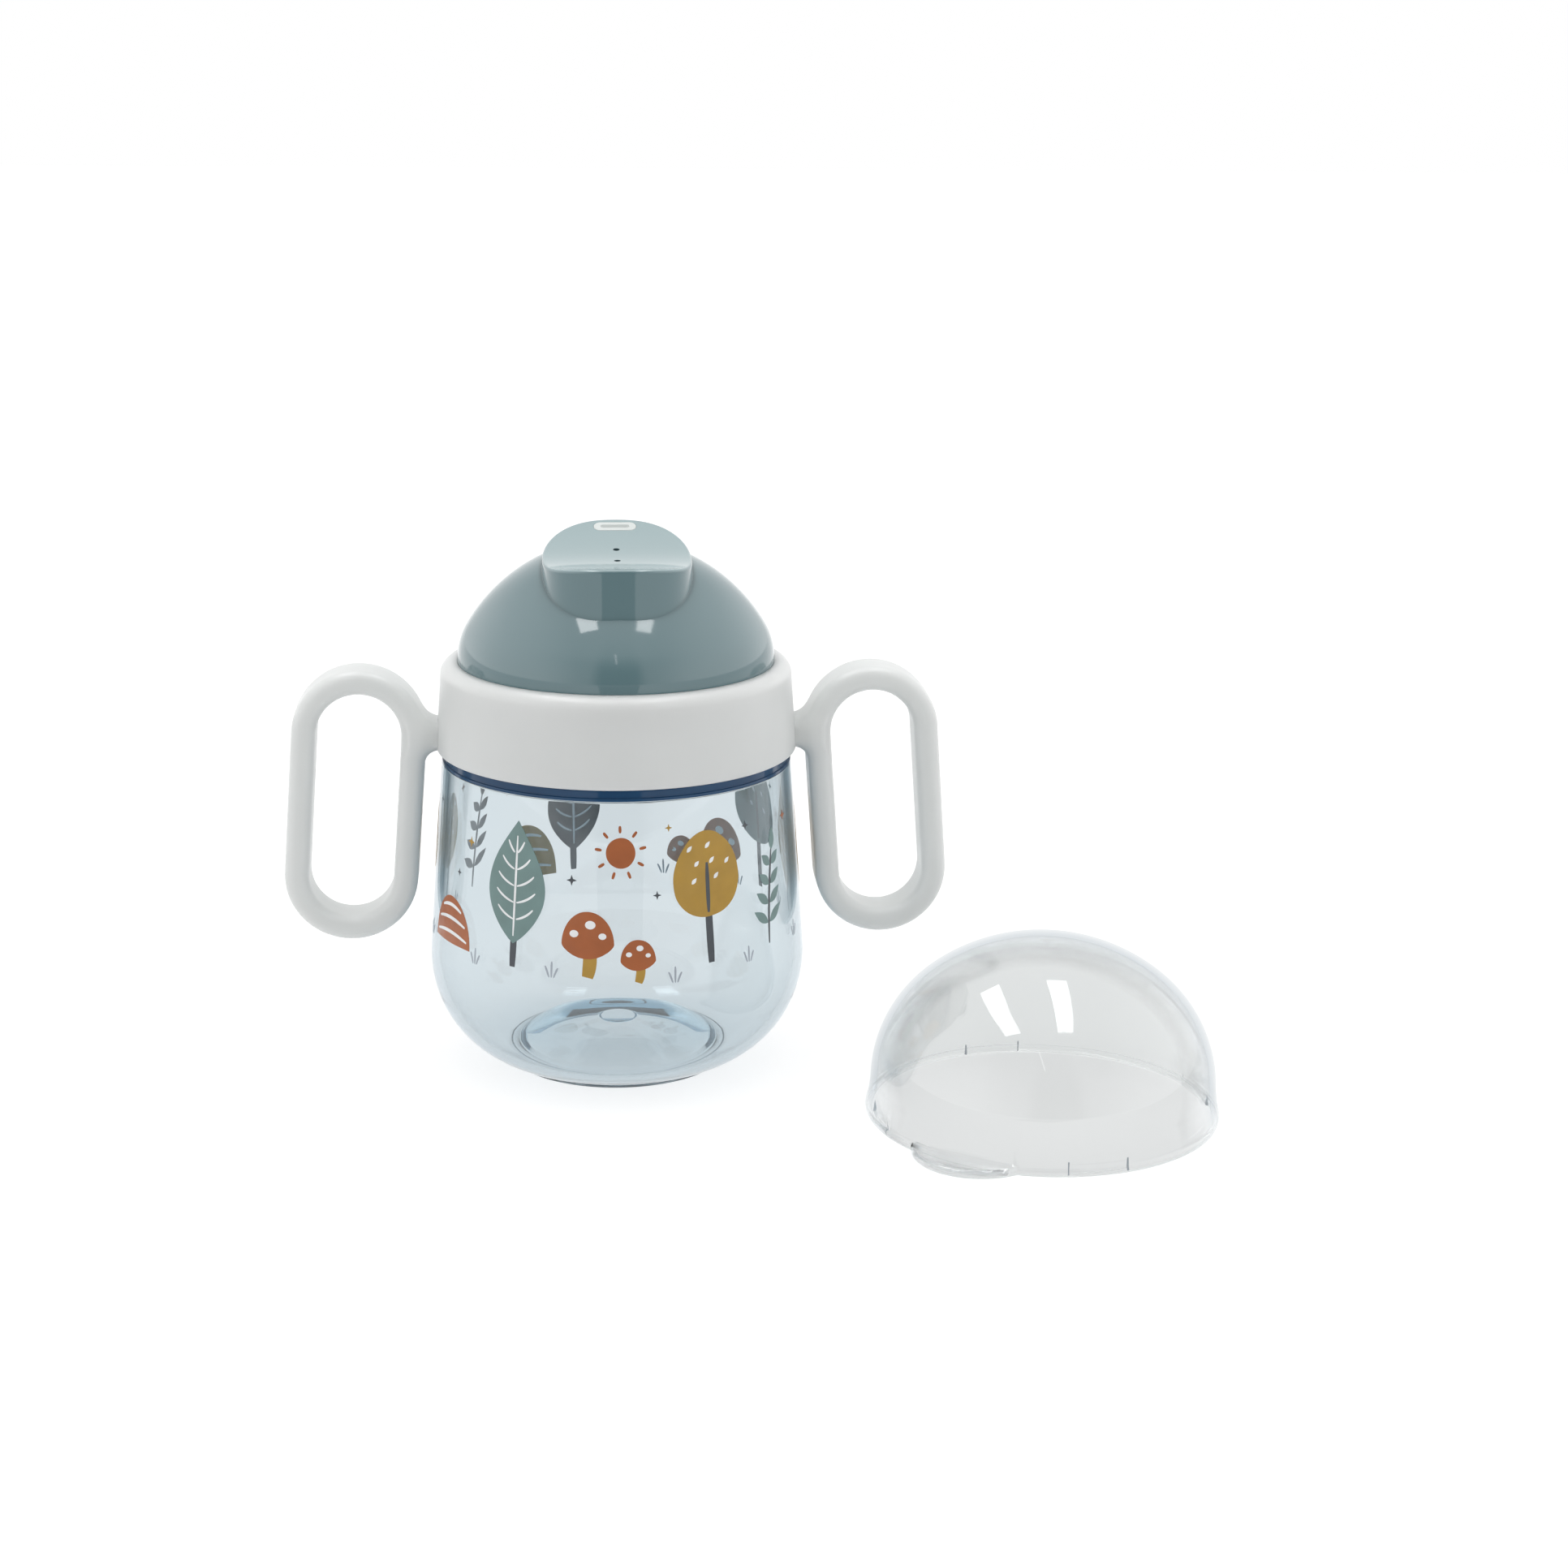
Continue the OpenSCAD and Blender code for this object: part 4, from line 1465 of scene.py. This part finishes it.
def stripedHill(x, z, width, height, colour, seed):
    half = width / 2
    top = [(x + half * math.cos(a), z + height * math.sin(a)) for a in np.linspace(0, math.pi, 40)]
    base = [(x - half + width * k / 12, z) for k in range(1, 12)]
    addInk(colour, handCut(np.array(top + base), 0.1, seed))
    for level in (0.2, 0.5, 0.78):
        reach = half * math.sqrt(1 - level ** 2) * 0.86
        at = z + level * height
        line = [(x - reach, at - 0.5), (x, at + 0.35), (x + reach, at - 0.5)]
        addInk("pale", strokeOutline(line, 0.7), 2)


def tuft(x, z):
    for reach, tall in ((-1.3, 2.2), (0.1, 3.2), (1.4, 2.0)):
        blade = [(x + reach * 0.35, z), (x + reach * 0.7, z + tall * 0.6), (x + reach, z + tall)]
        addInk("mist", strokeOutline(blade, 0.4, 0.5))


def sparkle(x, z, size, colour):
    points = []
    for k in range(8):
        r = size if k % 2 == 0 else size * 0.36
        a = math.pi / 4 * k
        points.append((x + r * math.cos(a), z + r * math.sin(a)))
    addInk(colour, points)


def sunDisc(x, z, radius, colour):
    addInk(colour, handCut(egg(x, z, radius, radius, 0, 40), 0.08, 5))
    for k in range(9):
        a = 2 * math.pi * k / 9 + 0.2
        line = [(x + r * math.cos(a), z + r * math.sin(a)) for r in (radius + 0.9, radius + 2.3)]
        addInk(colour, strokeOutline(line, 0.6))


def drawGarden():
    perDegree = math.radians(1) * cupValues["bodyR"]

    def at(degrees):
        return degrees * perDegree

    leafTree(at(-33), 27.5, 29.0, 13.5, "teal", 11)
    toadstool(at(-9), 27.0, 13.0, 10.5, 12)
    toadstool(at(6), 26.0, 8.5, 7.0, 13)
    roundTree(at(29), 28.5, 26.0, 7.6, "mustard", 14)
    sprig(at(53), 29.0, 19.0, 2.5, "teal")
    stripedHill(at(-62), 28.0, 15.0, 9.5, "rust", 15)
    sunDisc(at(1), 51.5, 3.0, "rust")
    for degrees, z in ((-20, 26.5), (17, 25.5), (43, 26.8), (-48, 26.0), (70, 27.5)):
        tuft(at(degrees), z)
    for degrees, z, size, colour in (
        (-14, 46, 1.1, "slate"),
        (12, 43, 0.9, "slate"),
        (-52, 50, 1.1, "mustard"),
        (44, 54, 1.0, "slate"),
        (-58, 43, 0.8, "slate"),
        (66, 53, 1.1, "rust"),
        (16, 56, 0.8, "mustard"),
    ):
        sparkle(at(degrees), z, size, colour)
    # the far side of the cup
    stripedHill(at(-146), 26.5, 17.0, 12.0, "mustard", 21)
    leafTree(at(-165), 27.0, 27.0, 12.5, "slate", 22)
    toadstool(at(141), 26.5, 14.0, 11.5, 23)
    toadstool(at(157), 26.0, 9.0, 7.5, 24)
    roundTree(at(122), 28.0, 27.5, 8.0, "teal", 27)
    sprig(at(-121), 28.5, 20.0, -2.5, "slate")
    leafTree(at(94), 28.0, 27.0, 12.5, "mustard", 25)
    roundTree(at(-95), 29.0, 24.0, 7.0, "mustard", 26)
    sunDisc(at(170), 51.0, 2.8, "rust")
    for degrees, z in ((134, 26.5), (164, 26.0), (-138, 26.5), (-108, 27.0), (108, 26.5), (-80, 26.5)):
        tuft(at(degrees), z)
    for degrees, z, size, colour in (
        (133, 50, 1.1, "slate"),
        (160, 44, 0.9, "rust"),
        (-166, 52, 1.0, "slate"),
        (-138, 47, 1.0, "rust"),
        (110, 52, 1.0, "teal"),
        (-110, 52, 1.1, "rust"),
        (-76, 55, 0.9, "slate"),
    ):
        sparkle(at(degrees), z, size, colour)


def inkMaterial(ink):
    colour = srgb(printValues["inks"][ink])
    shade = tuple(part * printValues["shade"] for part in colour)
    return mouldedMaterial("ink " + ink, {**printValues, "colour": colour, "shade": shade})


# Wraps flat ink shapes on the wall as thin closed plates
def makePrint():
    s = printValues
    front = math.radians(s["frontDeg"])
    stacks = {ink: SurfaceStack() for ink in s["inks"]}

    def onWall(flat, lift):
        angle = front + flat[:, 0] / cupValues["bodyR"]
        z = flat[:, 1] + s["rise"]
        return ringPoints(wallR(z) + lift * math.cos(lean), angle, z + lift * math.sin(lean))

    for ink, outline, layer in inkShapes:
        flat, faces = fillOutline(outline, [], s["spacing"])
        low = s["lift"] - s["over"] * layer
        high = s["lift"] + s["thick"] + s["over"] * layer
        stack = stacks[ink]
        start = stack.add(onWall(flat, low))
        above = stack.add(onWall(flat, high))
        count = len(outline)
        stack.faces += [tuple(start + v for v in face[::-1]) for face in faces]
        stack.faces += [tuple(above + v for v in face) for face in faces]
        for i in range(count):
            n = (i + 1) % count
            stack.faces.append((start + i, start + n, above + n, above + i))
    for ink, stack in stacks.items():
        piece = meshPiece("print_" + ink, stack.points, stack.faces)
        placePiece(piece, "cup", inkMaterial(ink))


drawGarden()
makePrint()
print("print made:", len(inkShapes), "shapes")


# Studio: white floor, white surroundings with a dark camera side, two ceiling strips

studio = {
    "ambient": 0.86,
    "ambientSide": 0.3,
    "ambientFront": -0.22,
    "throughFront": -0.6,
    "mirror": 1.2,
    "mirrorSide": 1.0,
    "mirrorFront": -0.1,
    "mirrorTop": 0.5,
    "sideFrom": (0.35, 0.95),
    "frontFrom": (0.0, 0.9),
    "topFrom": (0.5, 0.95),
    "slotWide": (0.19, 0.42),
    "slotHigh": (0.3, 0.95),
    "slotDark": 0.85,
    "floorShade": 0.32,
    "floorGlow": 0.54,
    "floorMirror": 1.05,
    "floorWhite": 0.8,
    "floorSize": 6,
    "floorDrop": 0.0002,
    "strips": ((-0.209, 0.024, 0.75), (0.197, -0.024, 0.75)),
    "stripSize": (0.11, 0.54),
    "stripPower": 0.65,
}
# Seen only in the glossy pieces: place, near and far width, depth and brightness
mirrored = {
    "strip_left": ((-0.209, 0.024, 0.749), 0.14, 0.14, 0.608, 8.0),
    "strip_right": ((0.197, -0.024, 0.749), 0.117, 0.117, 0.552, 8.0),
    "ceiling_gap": ((-0.018, -0.56, 0.549), 0.012, 0.012, 0.3, 3.5),
    "table_front": ((0, -1.3, 0.0005), 1.2, 0.13, 2.0, 0.42),
}


# One where light comes from inside clear plastic, and nought elsewhere
def fromInside(nodes, links, path):
    return mathNode(nodes, links, "GREATER_THAN", path.outputs["Transmission Depth"], 0.5)


# A level for soft light, and others for what is mirrored, seen through or seen straight
def rayLevel(nodes, links, soft, mirror, through, straight):
    path = nodes.new("ShaderNodeLightPath")
    rays = (
        (path.outputs["Is Glossy Ray"], mirror),
        (fromInside(nodes, links, path), through),
        (path.outputs["Is Camera Ray"], straight),
    )
    level = soft
    for isRay, seen in rays:
        keep = mathNode(nodes, links, "SUBTRACT", 1.0, isRay)
        kept = mathNode(nodes, links, "MULTIPLY", level, keep)
        added = mathNode(nodes, links, "MULTIPLY", seen, isRay)
        level = mathNode(nodes, links, "ADD", kept, added)
    return level


# A soft white tent, brighter at the sides and darker round the camera's slot
def makeWorld():
    world = bpy.data.worlds.new("studio")
    bpy.context.scene.world = world
    world.use_nodes = True
    nodes, links = world.node_tree.nodes, world.node_tree.links
    background = nodes["Background"]
    background.inputs["Color"].default_value = (1, 1, 1, 1)
    place = nodes.new("ShaderNodeTexCoord")
    way = nodes.new("ShaderNodeSeparateXYZ")
    links.new(place.outputs["Generated"], way.inputs[0])
    x, y, z = way.outputs

    def calc(operation, first, second=0.0):
        return mathNode(nodes, links, operation, first, second)

    def plus(level, part, amount):
        return calc("ADD", level, calc("MULTIPLY", part, studio[amount]))

    def rising(value, span):
        share = rangeNode(nodes, links, value, 0, 1, *studio[span])
        share.node.interpolation_type = "SMOOTHSTEP"
        return share

    def falling(value, span):
        return calc("SUBTRACT", 1.0, rising(value, span))

    across = calc("ABSOLUTE", x)
    ahead = calc("MULTIPLY", y, -1.0)
    side = rising(across, "sideFrom")
    front = rising(ahead, "frontFrom")
    ambient = plus(plus(studio["ambient"], side, "ambientSide"), front, "ambientFront")
    through = plus(studio["ambient"], front, "throughFront")
    mirror = plus(plus(studio["mirror"], side, "mirrorSide"), front, "mirrorFront")
    mirror = plus(mirror, rising(z, "topFrom"), "mirrorTop")
    slant = calc("DIVIDE", across, calc("MAXIMUM", ahead, 0.001))        # never by nought
    slot = calc("MULTIPLY", falling(slant, "slotWide"), falling(z, "slotHigh"))
    lit = calc("SUBTRACT", 1.0, calc("MULTIPLY", slot, studio["slotDark"]))
    mirror = calc("MULTIPLY", mirror, lit)
    level = rayLevel(nodes, links, ambient, mirror, through, 1.0)
    links.new(level, background.inputs["Strength"])


def stagePlane(name, near, far, depth, material):
    mesh = bpy.data.meshes.new(name)
    y = depth / 2
    corners = [(-near / 2, -y, 0), (near / 2, -y, 0), (far / 2, y, 0), (-far / 2, y, 0)]
    mesh.from_pydata(corners, [], [(0, 1, 2, 3)])
    mesh.materials.append(material)
    plane = bpy.data.objects.new(name, mesh)
    bpy.context.scene.collection.objects.link(plane)
    return plane


def makeFloor():
    material, nodes, links, shader = newMaterial("floor white")
    nodes.remove(shader)
    matte = nodes.new("ShaderNodeBsdfDiffuse")
    shade = studio["floorShade"]
    matte.inputs["Color"].default_value = (shade, shade, shade, 1)
    glow = nodes.new("ShaderNodeEmission")
    soft = studio["floorGlow"]
    level = rayLevel(nodes, links, soft, studio["floorMirror"], soft, studio["floorWhite"])
    links.new(level, glow.inputs["Strength"])
    both = nodes.new("ShaderNodeAddShader")
    links.new(matte.outputs[0], both.inputs[0])
    links.new(glow.outputs[0], both.inputs[1])
    links.new(both.outputs[0], nodes["Material Output"].inputs["Surface"])
    size = studio["floorSize"]
    floor = stagePlane("floor", size, size, size, material)
    floor.location.z = -studio["floorDrop"]


def makeMirrored():
    for name, (place, near, far, depth, brightness) in mirrored.items():
        material, nodes, links, shader = newMaterial(name + " face")
        nodes.remove(shader)
        glow = nodes.new("ShaderNodeEmission")
        glow.inputs["Strength"].default_value = brightness
        hidden = nodes.new("ShaderNodeBsdfTransparent")
        inside = fromInside(nodes, links, nodes.new("ShaderNodeLightPath"))
        surface = mixShaders(nodes, links, inside, glow.outputs[0], hidden.outputs[0])
        links.new(surface, nodes["Material Output"].inputs["Surface"])
        card = stagePlane(name, near, far, depth, material)
        card.location = place
        card.visible_camera = False
        card.visible_diffuse = False
        card.visible_transmission = False
        card.visible_shadow = False


def makeStrips():
    for place in studio["strips"]:
        lamp = bpy.data.lights.new("strip", "AREA")
        lamp.shape = "RECTANGLE"
        lamp.size, lamp.size_y = studio["stripSize"]
        lamp.energy = studio["stripPower"]
        strip = bpy.data.objects.new("strip", lamp)
        strip.location = place
        bpy.context.scene.collection.objects.link(strip)


# Camera as the photograph was taken, whose side and focal length are in pixels
cameraValues = {
    "photoSide": 1932,
    "focalPx": 3641.1,
    "sensor": 36.0,
    "place": (-16.53, -576.91, 213.2),
    "yaw": 4.993,
    "pitch": 15.142,
    "roll": 0.609,
}


def makeCamera():
    s = cameraValues
    yaw, pitch, roll = (math.radians(s[turn]) for turn in ("yaw", "pitch", "roll"))
    ahead = Vector((math.sin(yaw) * math.cos(pitch), math.cos(yaw) * math.cos(pitch), -math.sin(pitch)))
    level = Vector((math.cos(yaw), -math.sin(yaw), 0))
    above = level.cross(ahead)
    right = math.cos(roll) * level + math.sin(roll) * above
    up = -math.sin(roll) * level + math.cos(roll) * above
    lens = bpy.data.cameras.new("camera")
    lens.sensor_width = s["sensor"]
    lens.lens = s["sensor"] * s["focalPx"] / s["photoSide"]
    camera = bpy.data.objects.new("camera", lens)
    turn = Matrix((right, up, -ahead)).transposed().to_4x4()
    camera.matrix_world = Matrix.Translation(Vector(s["place"]) * mm) @ turn
    bpy.context.scene.collection.objects.link(camera)
    bpy.context.scene.camera = camera


makeWorld()
makeFloor()
makeMirrored()
makeStrips()
makeCamera()
bpy.context.scene.view_settings.view_transform = "Standard"
print("studio and camera set")
